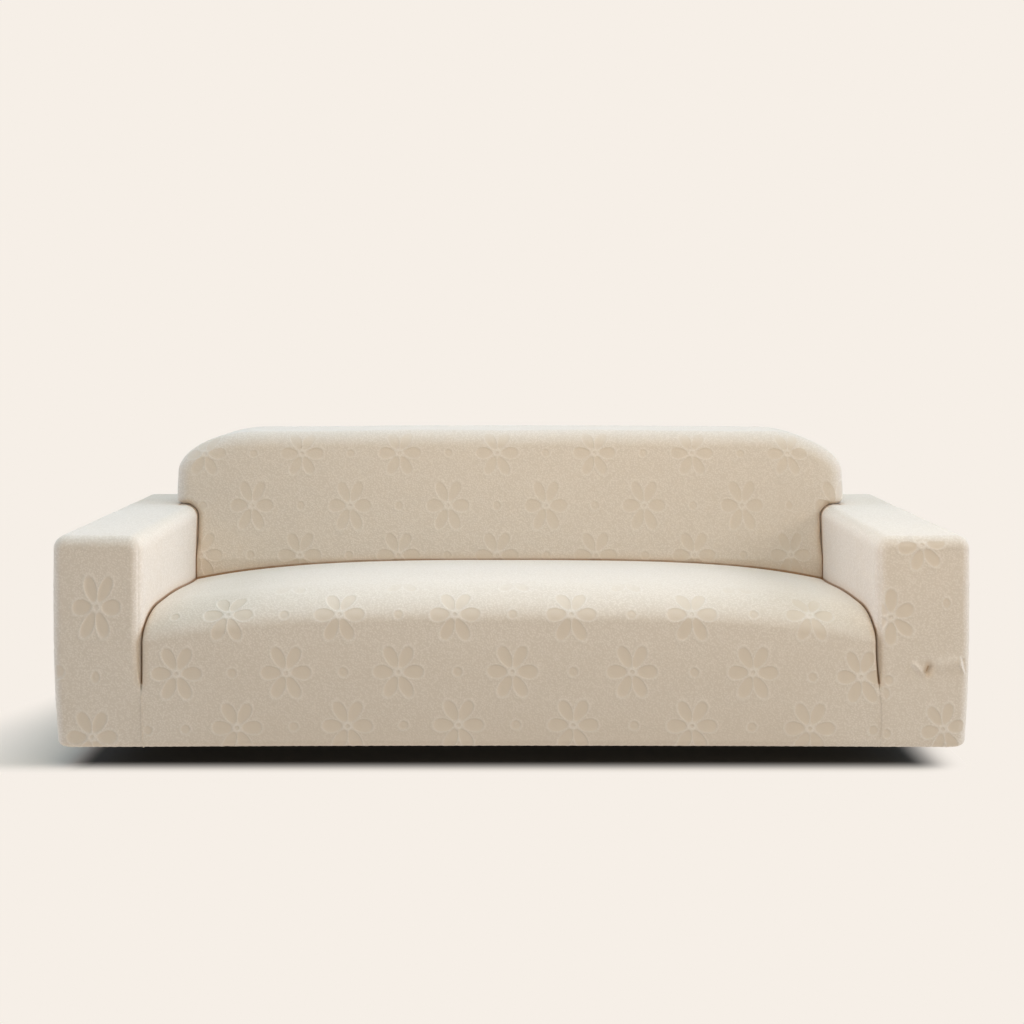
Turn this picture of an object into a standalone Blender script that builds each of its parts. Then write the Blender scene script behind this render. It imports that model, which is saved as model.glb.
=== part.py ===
"""Sofa slipcover: a fitted stretch cover in the taut shape that it has in use.

It has seven cut panels, each an open surface with Solidify for the cloth's thickness. Patterns are worked
out in their own frame: X to the right, Y from the front to the rear, Z up from the hem. Every panel is then
placed so that the part's origin lies under the top of the back, where the cover's weight hangs.
"""

import math

import bmesh
import bpy

# Driving dimensions, in metres
WIDTH = 2.24
DEPTH = 0.86
ARM_WIDTH = 0.22
ARM_HEIGHT = 0.519
BACK_WIDTH = 1.94
BACK_HEIGHT = 0.729
SEAT_HEIGHT_AT_ARM = 0.329
SEAT_HEIGHT_MIDDLE = 0.385
SEAT_DEPTH = 0.56

CLOTH = 0.0022
GAP = 0.0003

# Rounded edges of the arms
ARM_INNER_RADIUS = 0.036
ARM_OUTER_RADIUS = 0.032
FRONT_RADIUS = 0.028
REAR_RADIUS = 0.025

# The seat's rolled front edge, its crown and its drop beside the arms
ROLL_DEPTH = 0.14
ROLL_HEIGHT = 0.072
CROWN_POWER = 3.3
SEAT_EDGE = 0.012
SEAT_REAR_DROP = 0.016
CREVICE_RADIUS = 0.024

# The crease between the seat and each arm starts at this height on the front and is full at the next
GROOVE_FOOT = 0.133
GROOVE_FULL = 0.248
WRAP_FOOT = 0.15

# The back leans from the crevice up, and its top corners are long soft curves
BACK_LEAN_FOOT = 0.368
BACK_LEAN = 0.174
BACK_EDGE_RADIUS = 0.045
BACK_CORNER_WIDTH = 0.23
BACK_CORNER_HEIGHT = 0.12
BACK_FOOT = 0.253
BACK_TURN = 0.015
BACK_TURN_WIDTH = 0.02
TURN_FADE_START = 0.74
TURN_FADE_END = 0.83
TURN_RISE = 0.05

# Cloth pushed into the crevices
ARM_TUCK = 0.032
ARM_TUCK_HEIGHT = 0.253
ARM_TUCK_RUN = 0.12
CHEEK_TUCK = 0.02

# Room at the inside corner where rear, cheek and arm top meet
CORNER_STEP = 0.002
CORNER_GAP = 0.0025

# The elastic hem draws the cover in and turns it under the edge
HEM_LEAN = 0.010
HEM_LEAN_HEIGHT = 0.30
HEM_LEAN_POWER = 1.8
HEM_CURL = 0.018
DRAW_REACH = 0.25

# Unevenness of the worn cover: the right arm is wider above the crease, the hem rises in the middle and the
# top of the back drops a little towards its corners
RIGHT_ARM_SPREAD = 0.012
SPREAD_REACH = 0.11
SPREAD_START = 0.068
SPREAD_RISE = 0.185
HEM_RISE = 0.004
HEM_RISE_HEIGHT = 0.12
TOP_CROWN = 0.003
CROWN_START = 0.25
CROWN_REACH = 0.5
CROWN_FOOT = 0.6
CROWN_RISE = 0.1

HALF = WIDTH / 2
ARM_FACE = HALF - ARM_WIDTH
CHEEK = BACK_WIDTH / 2
ORIGIN_DEPTH = 0.75
ORIGIN_HEIGHT = BACK_HEIGHT - CLOTH

# Heights of each panel's rows
HEM_HEIGHTS = [HEM_CURL * (1 - math.sin(math.radians(a))) for a in (90, 52, 24, 0)]
FRONT_HEIGHTS = HEM_HEIGHTS + [0.06, 0.10, GROOVE_FOOT]
SIDE_HEIGHTS = HEM_HEIGHTS + [0.06, 0.11, 0.18, 0.27, 0.38, ARM_HEIGHT - ARM_OUTER_RADIUS]
INNER_HEIGHTS = [0.161, 0.178, 0.21, GROOVE_FULL, 0.32, 0.40, ARM_HEIGHT - ARM_INNER_RADIUS]
FRONT_SIDE_HEIGHTS = HEM_HEIGHTS + [0.06, 0.11, 0.14, 0.16, 0.18, 0.20, 0.23, 0.27, 0.32, 0.38]
BACK_FACE_HEIGHTS = [BACK_FOOT, 0.30, BACK_LEAN_FOOT, 0.42]
CHEEK_HEIGHTS = [0.526, 0.535, 0.56, BACK_HEIGHT - BACK_CORNER_HEIGHT]

# Other places of rows and columns: in metres, as shares of a length, or as a number of equal steps
ARM_TOP_COLUMNS = [CHEEK - CHEEK_TUCK, CHEEK + GAP]
ARM_TOP_SHARES = (0.25, 0.5, 0.75)
APRON_SHARES = (0.09, 0.22, 0.4, 0.7)
SEAT_SHARES = (0.25, 0.55, 0.8)
CHEEK_SHARES = (0.33, 0.67)
WRAP_DEPTHS = [0.05, 0.075, 0.10, 0.14, 0.20, 0.44]
EDGE_STEPS = (0.030, 0.017, 0.007, 0.002, 0.0)
ARC_STEPS = 4
REAR_STEPS = 3
ROLL_STEPS = 6
CORNER_STEPS = 7
WIDE_STEPS = 6
SEAT_STEPS = 8

# Seams lie halfway round the rounded front edges and near the end of the rounded rear edges
SEAM_ANGLE = math.radians(45)
REAR_SEAM_ANGLE = math.radians(78)
STRIP_ANGLE = math.radians(1)
SEAM_LIMIT = math.radians(8)

APRON_COLOUR = (0.72, 0.66, 0.57)
BACK_COLOUR = (0.68, 0.61, 0.52)
REAR_COLOUR = (0.60, 0.54, 0.46)
WRAP_COLOUR = (0.82, 0.78, 0.71)
ARM_FRONT_COLOUR = (0.62, 0.55, 0.46)
ROUGHNESS = 0.9


def smooth(t):
    t = min(max(t, 0.0), 1.0)
    return t * t * (3 - 2 * t)


def turned_away(t):
    """How far a round edge has turned away: 1 at its end, 0 from one radius on."""
    t = min(max(t, 0.0), 1.0)
    return 1 - math.sqrt(1 - (1 - t) ** 2)


def hem_draw(z):
    """How far the hem pulls the cloth inwards at a height."""
    lean = HEM_LEAN * max(0.0, 1 - z / HEM_LEAN_HEIGHT) ** HEM_LEAN_POWER
    return lean + HEM_CURL * turned_away(z / HEM_CURL)


def groove(z):
    """0 where seat and arm are one flat front, 1 where the crease between them is full."""
    t = min(max((z - GROOVE_FOOT) / (GROOVE_FULL - GROOVE_FOOT), 0.0), 1.0)
    return t * (2 - t)


def drawn_depth(y, z):
    """A depth from the front, with the hem drawn in near the front and near the rear."""
    front = max(0.0, 1 - y / DRAW_REACH)
    rear = max(0.0, 1 - (DEPTH - y) / DRAW_REACH)
    return y + hem_draw(z) * (front - rear)


def back_front(z):
    """Depth of the leaning front of the back at a height."""
    return SEAT_DEPTH + BACK_LEAN * max(0.0, z - BACK_LEAN_FOOT)


def seat_height(x):
    """Crown of the seat across its width."""
    rise = 1 - min(abs(x) / ARM_FACE, 1.0) ** CROWN_POWER
    return SEAT_HEIGHT_AT_ARM + (SEAT_HEIGHT_MIDDLE - SEAT_HEIGHT_AT_ARM) * rise


def arm_clearance(x, z):
    """Distance from a point on the back to the arm beside or below it."""
    across = ARM_FACE + ARM_INNER_RADIUS - abs(x)
    above = z - (ARM_HEIGHT - ARM_INNER_RADIUS)
    if above < 0:
        return ARM_FACE - abs(x)
    if across < 0:
        return z - ARM_HEIGHT
    return math.hypot(across, above) - ARM_INNER_RADIUS


def foot_height(x):
    """Where the back's cloth ends on the top of the arm."""
    across = max(ARM_FACE + ARM_INNER_RADIUS - x, 0.0)
    radius = ARM_INNER_RADIUS + GAP
    return ARM_HEIGHT - ARM_INNER_RADIUS + math.sqrt(radius**2 - across**2)


def back_turn(x, y, z):
    """How far the back's cloth turns in where it meets an arm, fading towards the rear seam."""
    fade = 1 - smooth((y - TURN_FADE_START) / (TURN_FADE_END - TURN_FADE_START))
    fade *= smooth((z - BACK_LEAN_FOOT) / TURN_RISE)
    return BACK_TURN * fade * turned_away(arm_clearance(x, z) / BACK_TURN_WIDTH)


def columns(reach):
    """Places across a row, from its left end to its right end, close together near both ends."""
    inner = reach - EDGE_STEPS[0]
    right = [inner * math.sin(math.pi / 2 * k / WIDE_STEPS) for k in range(WIDE_STEPS)]
    right += [reach - step for step in EDGE_STEPS]
    return [-x for x in reversed(right[1:])] + right


def arc(steps, first, last):
    """Angles in radians between two in degrees."""
    return [math.radians(first + (last - first) * k / steps) for k in range(steps + 1)]


def seam_shift(radius):
    """Half of the gap at a seam, as an angle on the inner side of cloth bent to this radius."""
    return min(GAP / 2 / max(radius - CLOTH, CLOTH / 2), SEAM_LIMIT)


def rear_angles():
    """Angles of the lines on a rounded rear edge, from the flat side to the seam."""
    last = REAR_SEAM_ANGLE - seam_shift(REAR_RADIUS)
    return [REAR_SEAM_ANGLE * k / REAR_STEPS for k in range(REAR_STEPS)] + [
        REAR_SEAM_ANGLE - STRIP_ANGLE,
        last,
    ]


def settled(point):
    """The place of a point of the taut pattern on the worn cover."""
    x, y, z = point
    spread = math.exp(-(((x - ARM_FACE) / SPREAD_REACH) ** 2)) * smooth((z - SPREAD_START) / SPREAD_RISE)
    hem = max(0.0, 1 - (x / HALF) ** 2) * max(0.0, 1 - z / HEM_RISE_HEIGHT)
    shoulder = smooth((abs(x) - CROWN_START) / CROWN_REACH) * smooth((z - CROWN_FOOT) / CROWN_RISE)
    return (x - RIGHT_ARM_SPREAD * spread, y, z + HEM_RISE * hem - TOP_CROWN * shoulder)


def add_patch(mesh, rows):
    """Adds a grid of quads over rows of points."""
    grid = [[mesh.verts.new(settled(point)) for point in row] for row in rows]
    for lower, upper in zip(grid, grid[1:]):
        for corners in zip(lower, lower[1:], upper[1:], upper):
            mesh.faces.new(corners)


def cloth_material(name, colour):
    material = bpy.data.materials.new(name)
    material.use_nodes = True
    shader = material.node_tree.nodes["Principled BSDF"]
    shader.inputs["Base Color"].default_value = (*colour, 1)
    shader.inputs["Roughness"].default_value = ROUGHNESS
    shader.inputs["Metallic"].default_value = 0.0
    return material


def sew_panel(name, patches, facing, colour, collection):
    """Joins patches that share their borders into one panel and gives it the cloth's thickness."""
    mesh = bmesh.new()
    for rows in patches:
        add_patch(mesh, rows)
    bmesh.ops.remove_doubles(mesh, verts=mesh.verts, dist=1e-5)
    bmesh.ops.dissolve_degenerate(mesh, edges=mesh.edges, dist=1e-6)
    bmesh.ops.recalc_face_normals(mesh, faces=mesh.faces)
    outward = sum(face.normal[facing[0]] * face.calc_area() for face in mesh.faces)
    if outward * facing[1] < 0:
        bmesh.ops.reverse_faces(mesh, faces=mesh.faces)
    data = bpy.data.meshes.new(name)
    mesh.to_mesh(data)
    mesh.free()
    data.shade_smooth()
    data.materials.append(cloth_material(name + "_cloth", colour))
    panel = bpy.data.objects.new(name, data)
    panel.location = (0, -ORIGIN_DEPTH, -ORIGIN_HEIGHT)
    collection.objects.link(panel)
    thickness = panel.modifiers.new("cloth_thickness", "SOLIDIFY")
    thickness.thickness = CLOTH
    thickness.offset = -1
    thickness.use_quality_normals = True
    return panel


# Seat and front apron


def seat_rows(x):
    """Depth, height and inward direction down a length of the seat cloth, from the hem to the crevice."""
    top = seat_height(x)
    roll_foot = top - ROLL_HEIGHT
    rows = [(hem_draw(z), z, 1, 0) for z in FRONT_HEIGHTS]
    for part in APRON_SHARES:
        z = GROOVE_FOOT + part * (roll_foot - GROOVE_FOOT)
        rows.append((hem_draw(z), z, 1, 0))
    for a in arc(ROLL_STEPS, 0, 90):
        y = ROLL_DEPTH * (1 - math.cos(a))
        rows.append((y, roll_foot + ROLL_HEIGHT * math.sin(a), math.cos(a), -math.sin(a)))
    side = SEAT_EDGE * turned_away((ARM_FACE - GAP - abs(x)) / SEAT_EDGE)
    start = SEAT_DEPTH - GAP - CREVICE_RADIUS
    for part in SEAT_SHARES:
        y = ROLL_DEPTH + part * (start - ROLL_DEPTH)
        rows.append((y, top - SEAT_REAR_DROP * smooth(part) ** 2, 0, -1))
    for a in arc(ARC_STEPS, 0, 90):
        y = start + CREVICE_RADIUS * math.sin(a)
        z = top - SEAT_REAR_DROP - CREVICE_RADIUS * (1 - math.cos(a))
        rows.append((y, z, 0, -1))
    return rows, side


def seat_point(x, row, side):
    y, z, inward_y, inward_z = row
    drop = side * groove(z)
    return (x, y + inward_y * drop, z + inward_z * drop)


def seat_columns():
    """Places across the seat. Its outer edge is spaced by angle, as it rolls down beside each arm."""
    reach = ARM_FACE - GAP
    inner = reach - SEAT_EDGE
    right = [inner * math.sin(math.pi / 2 * k / SEAT_STEPS) for k in range(SEAT_STEPS)]
    right += [reach - SEAT_EDGE * (1 - math.sin(a)) for a in arc(ARC_STEPS, 0, 90)]
    return [-x for x in reversed(right[1:])] + right


def make_seat_apron(collection):
    lengths = []
    for x in seat_columns():
        rows, side = seat_rows(x)
        lengths.append([seat_point(x, row, side) for row in rows])
    return sew_panel("seat_apron", [lengths], (2, 1), APRON_COLOUR, collection)


# Arms


def arm_inner_arc():
    """Rounded inner top edge of the right arm, from its face to its top, as edge points."""
    x = ARM_FACE + ARM_INNER_RADIUS
    z = ARM_HEIGHT - ARM_INNER_RADIUS
    radius = ARM_INNER_RADIUS
    return [
        (x - radius * math.cos(a), z + radius * math.sin(a), -math.cos(a), math.sin(a), 1)
        for a in arc(ARC_STEPS, 0, 90)
    ]


def arm_outer_arc():
    """Rounded outer top edge of the right arm, from its top to its side."""
    x = HALF - ARM_OUTER_RADIUS
    z = ARM_HEIGHT - ARM_OUTER_RADIUS
    radius = ARM_OUTER_RADIUS
    return [
        (x + radius * math.cos(a), z + radius * math.sin(a), math.cos(a), math.sin(a), 1)
        for a in arc(ARC_STEPS, 90, 0)
    ]


def arm_outer_side():
    """Outer side of the right arm, from below its rounded edge down to the hem."""
    return [(HALF - hem_draw(z), z, 1, 0, 1) for z in reversed(SIDE_HEIGHTS[:-1])]


def arm_front_loop():
    """The right arm's outline seen from the front: x, z, outward direction, fullness of the rounding."""
    heights = FRONT_HEIGHTS + [WRAP_FOOT] + INNER_HEIGHTS[:-1]
    loop = [(ARM_FACE, z, -1, 0, groove(z)) for z in heights]
    left = ARM_FACE + ARM_INNER_RADIUS
    right = HALF - ARM_OUTER_RADIUS
    tops = [(left + (right - left) * part, ARM_HEIGHT, 0, 1, 1) for part in ARM_TOP_SHARES]
    return loop + arm_inner_arc() + tops + arm_outer_arc()


def arm_front_side():
    """The outer side of the arm front, with as many points as its inner side."""
    return [(HALF - hem_draw(z), z, 1, 0, 1) for z in reversed(FRONT_SIDE_HEIGHTS)]


def edge_turn(angle, full, towards):
    """Inset from the outline and depth behind the front on the rounded front edge.

    Angle 0 lies in the front plane and 90 degrees on the side. Near the seam the cloth is held back by half
    of the gap, and by more where the crease starts: towards is -1 for the front panel and 1 for the panel
    behind it.
    """
    radius = FRONT_RADIUS * full
    end = 0 if towards < 0 else math.pi / 2
    angle += towards * (2 - full) * seam_shift(radius) * (end - angle) / (end - SEAM_ANGLE)
    return radius * (1 - math.sin(angle)), radius * (1 - math.cos(angle))


def front_edge_point(edge, angle):
    """A point of the arm front on its rounded edge, which is flat below the crease beside the seat."""
    x, z, out_x, out_z, full = edge
    inset, depth = edge_turn(angle, full, -1)
    inset += (1 - full) * (FRONT_RADIUS * (1 - angle / SEAM_ANGLE) ** 2 + GAP / 2)
    x -= out_x * inset
    z -= out_z * inset
    return (x, drawn_depth(depth, z), z)


def make_arm_front(name, side, collection):
    loop = arm_front_loop() + arm_front_side()
    angles = [0, SEAM_ANGLE / 2, SEAM_ANGLE - STRIP_ANGLE, SEAM_ANGLE]
    rings = [[front_edge_point(edge, angle) for edge in loop] for angle in angles]
    steps = len(arm_front_side()) + ARC_STEPS
    inner = rings[0]
    across = inner[steps : len(inner) - steps]
    shares = [(p[0] - across[0][0]) / (across[-1][0] - across[0][0]) for p in across]
    rows = []
    for left, right in zip(inner[: steps + 1], reversed(inner[len(inner) - steps - 1 :])):
        row = [tuple(a + (b - a) * share for a, b in zip(left, right)) for share in shares]
        rows.append([(x, drawn_depth(0, z), z) for x, y, z in row])
    patches = [mirrored(patch, side) for patch in (rings, rows)]
    return sew_panel(name, patches, (1, -1), ARM_FRONT_COLOUR, collection)


def mirrored(rows, side):
    return [[(side * x, y, z) for x, y, z in row] for row in rows]


def wrap_foot(depth):
    """Lowest height of the arm's inner cloth, which is pushed down beside the seat."""
    start = FRONT_RADIUS * (1 - math.cos(SEAM_ANGLE))
    rise = smooth((depth - start) / (ARM_TUCK_RUN - start))
    return WRAP_FOOT + (ARM_TUCK_HEIGHT - WRAP_FOOT) * rise


def wrap_edges(depth):
    """Edge points of the arm wrap at a depth, from the foot of its inner face over the top to the hem."""
    top = ARM_HEIGHT - ARM_INNER_RADIUS
    foot = wrap_foot(depth)
    edges = []
    for height in [WRAP_FOOT] + INNER_HEIGHTS[:-1]:
        z = foot + (height - WRAP_FOOT) / (top - WRAP_FOOT) * (top - foot)
        edges.append((ARM_FACE, z, -1, 0, groove(z)))
    edges += arm_inner_arc()
    edges += [(x, ARM_HEIGHT, 0, 1, 1) for x in ARM_TOP_COLUMNS]
    return edges + arm_outer_arc() + arm_outer_side()


def wrap_line(depth, inset=0.0):
    """One line of the arm wrap at a depth, set in from the arm's outline where it rounds to the rear."""
    line = []
    for x, z, out_x, out_z, _ in wrap_edges(depth):
        z -= out_z * inset
        line.append((x - out_x * inset, drawn_depth(depth, z), z))
    if inset:
        foot = len(INNER_HEIGHTS) + ARC_STEPS + 2
        line[foot] = (CHEEK - inset + CORNER_GAP, depth, ARM_HEIGHT - inset)
    return line


def front_wrap_lines():
    """Lines of the arm wrap on the rounded front edge, from the seam to the flat sides."""
    lines = []
    quarter = math.pi / 2
    for angle in (SEAM_ANGLE, SEAM_ANGLE + STRIP_ANGLE, (SEAM_ANGLE + quarter) / 2, quarter):
        line = []
        for x, z, out_x, out_z, full in wrap_edges(FRONT_RADIUS * (1 - math.cos(angle))):
            inset, depth = edge_turn(angle, full, 1)
            z -= out_z * inset
            line.append((x - out_x * inset, drawn_depth(depth, z), z))
        lines.append(line)
    return lines


def make_arm_wrap(name, side, collection):
    front = front_wrap_lines() + [wrap_line(depth) for depth in WRAP_DEPTHS]
    end = wrap_line(back_front(ARM_HEIGHT) + ARM_TUCK)
    turn = len(INNER_HEIGHTS) + ARC_STEPS + 1
    end = [(x, back_front(z) + ARM_TUCK, z) for x, y, z in end[:turn]] + end[turn:]
    rear_start = DEPTH - REAR_RADIUS
    middle = wrap_line((back_front(ARM_HEIGHT) + ARM_TUCK + rear_start) / 2)
    last = wrap_line(rear_start)
    rear = []
    for angle in rear_angles():
        depth = rear_start + REAR_RADIUS * math.sin(angle)
        rear.append(wrap_line(depth, REAR_RADIUS * (1 - math.cos(angle))))
    patches = [
        front + [end],
        [line[turn:] for line in (end, middle, last)],
        [line[turn + 1 :] for line in rear],
    ]
    patches = [mirrored(patch, side) for patch in patches]
    return sew_panel(name, patches, (2, 1), WRAP_COLOUR, collection)


# Back


def back_outline():
    """Right half of the back's outline from the front: cheek from above its foot, corner, half of the top."""
    points = [(CHEEK, z, 1, 0) for z in CHEEK_HEIGHTS]
    x = CHEEK - BACK_CORNER_WIDTH
    z = BACK_HEIGHT - BACK_CORNER_HEIGHT
    for a in arc(CORNER_STEPS, 0, 90)[1:]:
        out_x = math.cos(a) / BACK_CORNER_WIDTH
        out_z = math.sin(a) / BACK_CORNER_HEIGHT
        size = math.hypot(out_x, out_z)
        corner = (x + BACK_CORNER_WIDTH * math.cos(a), z + BACK_CORNER_HEIGHT * math.sin(a))
        points.append((*corner, out_x / size, out_z / size))
    tops = [c for c in reversed(columns(x)) if 0 <= c < x - 1e-6]
    return points + [(c, BACK_HEIGHT, 0, 1) for c in tops]


def whole_loop(half):
    """The right half of a ring of points with its mirror image, from right to left."""
    return half + [(-x, y, z) for x, y, z in reversed(half[:-1])]


def back_ring(inset, depth_past_front, turn_angle, drop=0.0, depth=None):
    """One ring round the back, from the foot of one cheek over the top to the other."""
    foot_x = CHEEK - inset
    ring = [(foot_x, foot_height(foot_x) - drop + (CORNER_GAP if drop else 0), 1, 0)]
    for x, z, out_x, out_z in back_outline():
        ring.append((x - out_x * inset, z - out_z * inset, out_x, out_z))
    half = []
    for x, z, out_x, out_z in ring:
        y = back_front(z) + depth_past_front if depth is None else depth
        turn = back_turn(x, y, z)
        half.append((x - out_x * math.sin(turn_angle) * turn, y + math.cos(turn_angle) * turn, z))
    return whole_loop(half)


def back_rings():
    quarter = math.pi / 2
    radius = BACK_EDGE_RADIUS
    rings = []
    for angle in arc(ARC_STEPS, 0, 90):
        rings.append(back_ring(radius * (1 - math.sin(angle)), radius * (1 - math.cos(angle)), angle))
    rear_start = DEPTH - REAR_RADIUS
    front_edge = rings[-1]
    flat_rear = back_ring(0, 0, quarter, depth=rear_start)
    for part in CHEEK_SHARES:
        between = []
        for near, far in zip(front_edge, flat_rear):
            y = near[1] + (far[1] - near[1]) * part
            turn = back_turn(far[0], y, far[2])
            side = math.copysign(1, far[0])
            between.append((far[0] - side * turn if far[2] < CHEEK_HEIGHTS[2] else far[0], y, far[2]))
        rings.append(between)
    for angle in rear_angles():
        inset = REAR_RADIUS * (1 - math.cos(angle))
        depth = rear_start + REAR_RADIUS * math.sin(angle)
        rings.append(back_ring(inset, 0, quarter, drop=inset, depth=depth))
    return rings


def back_face_rows():
    """Rows of the front of the back, from the crevice up to the inner end of its rounded edge."""
    ends = [(ARM_FACE - GAP, z) for z in BACK_FACE_HEIGHTS]
    centre_x = ARM_FACE + ARM_INNER_RADIUS
    centre_z = ARM_HEIGHT - ARM_INNER_RADIUS
    radius = ARM_INNER_RADIUS + GAP
    last = math.acos((centre_x - (CHEEK - BACK_EDGE_RADIUS)) / radius)
    for a in [a for a in arc(ARC_STEPS, 0, 90) if a < last] + [last]:
        ends.append((centre_x - radius * math.cos(a), centre_z + radius * math.sin(a)))
    inset = BACK_EDGE_RADIUS
    for x, z, out_x, out_z in back_outline():
        if out_z < 1:
            ends.append((x - out_x * inset, z - out_z * inset))
    top_x = CHEEK - BACK_CORNER_WIDTH
    ends.append((top_x, BACK_HEIGHT - inset))
    rows = []
    for reach, z in ends:
        row = [(x, z) for x in columns(reach)]
        rows.append([(x, back_front(z) + back_turn(x, back_front(z), z), z) for x, z in row])
    return rows


def make_inside_back(collection):
    patches = [back_face_rows(), back_rings()]
    return sew_panel("inside_back", patches, (1, -1), BACK_COLOUR, collection)


def rear_outline():
    """Right half of the rear's outline, hem to centre line; each direction points out of the panel."""
    points = [(HALF - hem_draw(z), z, 1, 0) for z in SIDE_HEIGHTS[:-1]]
    points += [(x, z, out_x, out_z) for x, z, out_x, out_z, _ in reversed(arm_outer_arc())]
    points.append((CHEEK + CORNER_STEP, ARM_HEIGHT, 1, 1))
    points.append((CHEEK, ARM_HEIGHT, 1, 1))
    points.append((CHEEK, ARM_HEIGHT + CORNER_STEP, 1, 1))
    return points + back_outline()


def rear_ring(angle):
    inset = REAR_RADIUS * (1 - math.cos(angle))
    depth = DEPTH - REAR_RADIUS * (1 - math.sin(angle))
    half = []
    for x, z, out_x, out_z in rear_outline():
        z -= out_z * inset
        half.append((x - out_x * inset, drawn_depth(depth, z), z))
    return whole_loop(half)


def make_outside_back(collection):
    quarter = math.pi / 2
    start = REAR_SEAM_ANGLE + seam_shift(REAR_RADIUS)
    rings = [rear_ring(a) for a in (start, REAR_SEAM_ANGLE + STRIP_ANGLE, (start + quarter) / 2, quarter)]
    flat = rings[-1]
    arm_rows = len(SIDE_HEIGHTS) + ARC_STEPS
    beside = flat[arm_rows][0]
    middle = columns(CHEEK - REAR_RADIUS)
    low = []
    for x, y, z in flat[:arm_rows]:
        low.append([(c, y, z) for c in [-x, -beside] + middle + [beside, x]])
    high = []
    for x, y, z in flat[arm_rows + 1 : arm_rows + 3 + len(CHEEK_HEIGHTS) + CORNER_STEPS]:
        high.append([(c, y, z) for c in columns(x)])
    return sew_panel("outside_back", [rings, low, high], (1, 1), REAR_COLOUR, collection)


def main():
    for old in list(bpy.data.objects):
        bpy.data.objects.remove(old)
    collection = bpy.data.collections.new("sofa_slipcover")
    bpy.context.scene.collection.children.link(collection)
    make_seat_apron(collection)
    make_inside_back(collection)
    make_outside_back(collection)
    for label, side in (("left", -1), ("right", 1)):
        make_arm_wrap("arm_wrap_" + label, side, collection)
        make_arm_front("arm_front_" + label, side, collection)


main()
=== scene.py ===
"""Sofa slipcover, dressed: the seven sewn panels of the cover in stretch cloth with sunken flowers.

Every panel repeats the surface of its solid on a fine grid, in the same pattern frame: X to the right,
Y from the front to the rear, Z up from the hem. Flowers, crevices, puckers and the gathered hem are moves
of its points along the cloth's normal. Weave and colour come from the material.
"""

from math import acos, ceil, copysign, cos, hypot, pi, radians, sin, sqrt

import bmesh
import bpy
import numpy as np
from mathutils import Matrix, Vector, kdtree, noise


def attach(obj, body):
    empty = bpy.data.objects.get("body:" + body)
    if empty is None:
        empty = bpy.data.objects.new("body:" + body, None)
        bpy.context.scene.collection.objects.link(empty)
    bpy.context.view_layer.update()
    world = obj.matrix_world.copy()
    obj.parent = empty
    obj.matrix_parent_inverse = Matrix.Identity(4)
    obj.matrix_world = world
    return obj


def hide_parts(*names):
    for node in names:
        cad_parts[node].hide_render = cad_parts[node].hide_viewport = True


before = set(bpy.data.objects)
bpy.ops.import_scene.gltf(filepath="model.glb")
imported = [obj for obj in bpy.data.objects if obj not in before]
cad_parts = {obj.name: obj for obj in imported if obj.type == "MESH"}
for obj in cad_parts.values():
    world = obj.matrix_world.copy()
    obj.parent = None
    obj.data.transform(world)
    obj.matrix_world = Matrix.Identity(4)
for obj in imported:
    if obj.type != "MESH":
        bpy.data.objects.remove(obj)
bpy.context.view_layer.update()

# The cover's sizes, in metres, as in the solids
WIDTH = 2.24
DEPTH = 0.86
ARM_WIDTH = 0.22
ARM_HEIGHT = 0.519
BACK_WIDTH = 1.94
BACK_HEIGHT = 0.729
SEAT_HEIGHT_AT_ARM = 0.329
SEAT_HEIGHT_MIDDLE = 0.385
SEAT_DEPTH = 0.56
CLOTH = 0.0022
GAP = 0.0003

ARM_INNER_RADIUS = 0.036
ARM_OUTER_RADIUS = 0.032
FRONT_RADIUS = 0.028
REAR_RADIUS = 0.025
ROLL_DEPTH = 0.14
ROLL_HEIGHT = 0.072
CROWN_POWER = 3.3
SEAT_EDGE = 0.012
SEAT_REAR_DROP = 0.016
CREVICE_RADIUS = 0.024
GROOVE_FOOT = 0.133
GROOVE_FULL = 0.248
WRAP_FOOT = 0.15
BACK_LEAN_FOOT = 0.368
BACK_LEAN = 0.174
BACK_EDGE_RADIUS = 0.045
BACK_CORNER_WIDTH = 0.23
BACK_CORNER_HEIGHT = 0.12
BACK_FOOT = 0.253
BACK_TURN = 0.015
BACK_TURN_WIDTH = 0.02
TURN_FADE_START = 0.74
TURN_FADE_END = 0.83
TURN_RISE = 0.05
TURN_TOP = 0.56
ARM_TUCK = 0.032
ARM_TUCK_HEIGHT = 0.253
ARM_TUCK_RUN = 0.12
CHEEK_TUCK = 0.02
CORNER_STEP = 0.002
HEM_LEAN = 0.010
HEM_LEAN_HEIGHT = 0.30
HEM_LEAN_POWER = 1.8
HEM_CURL = 0.018
DRAW_REACH = 0.25
RIGHT_ARM_SPREAD = 0.012
SPREAD_REACH = 0.11
SPREAD_START = 0.068
SPREAD_RISE = 0.185
HEM_RISE = 0.004
HEM_RISE_HEIGHT = 0.12
TOP_CROWN = 0.003
CROWN_START = 0.25
CROWN_REACH = 0.5
CROWN_FOOT = 0.6
CROWN_RISE = 0.1

HALF = WIDTH / 2
ARM_FACE = HALF - ARM_WIDTH
CHEEK = BACK_WIDTH / 2
ORIGIN_DEPTH = 0.75
ORIGIN_HEIGHT = BACK_HEIGHT - CLOTH
QUARTER = pi / 2
SEAM_ANGLE = radians(45)
REAR_SEAM_ANGLE = radians(78)
STRIP_ANGLE = radians(1)

# Not in the solids: seams drawn nearly closed, and room where arm, back and rear meet
SEAM_GAP = 0.00004
CORNER_GAP = 0.0004
# The apron's edge meets the arm below the first height, and tucks in a little further round the second
SEWN_HEIGHT = 0.185
SEWN_TUCK_HEIGHT = 0.153
SEWN_TUCK_REACH = 0.012
SEWN_TUCK = 0.0018

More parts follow.
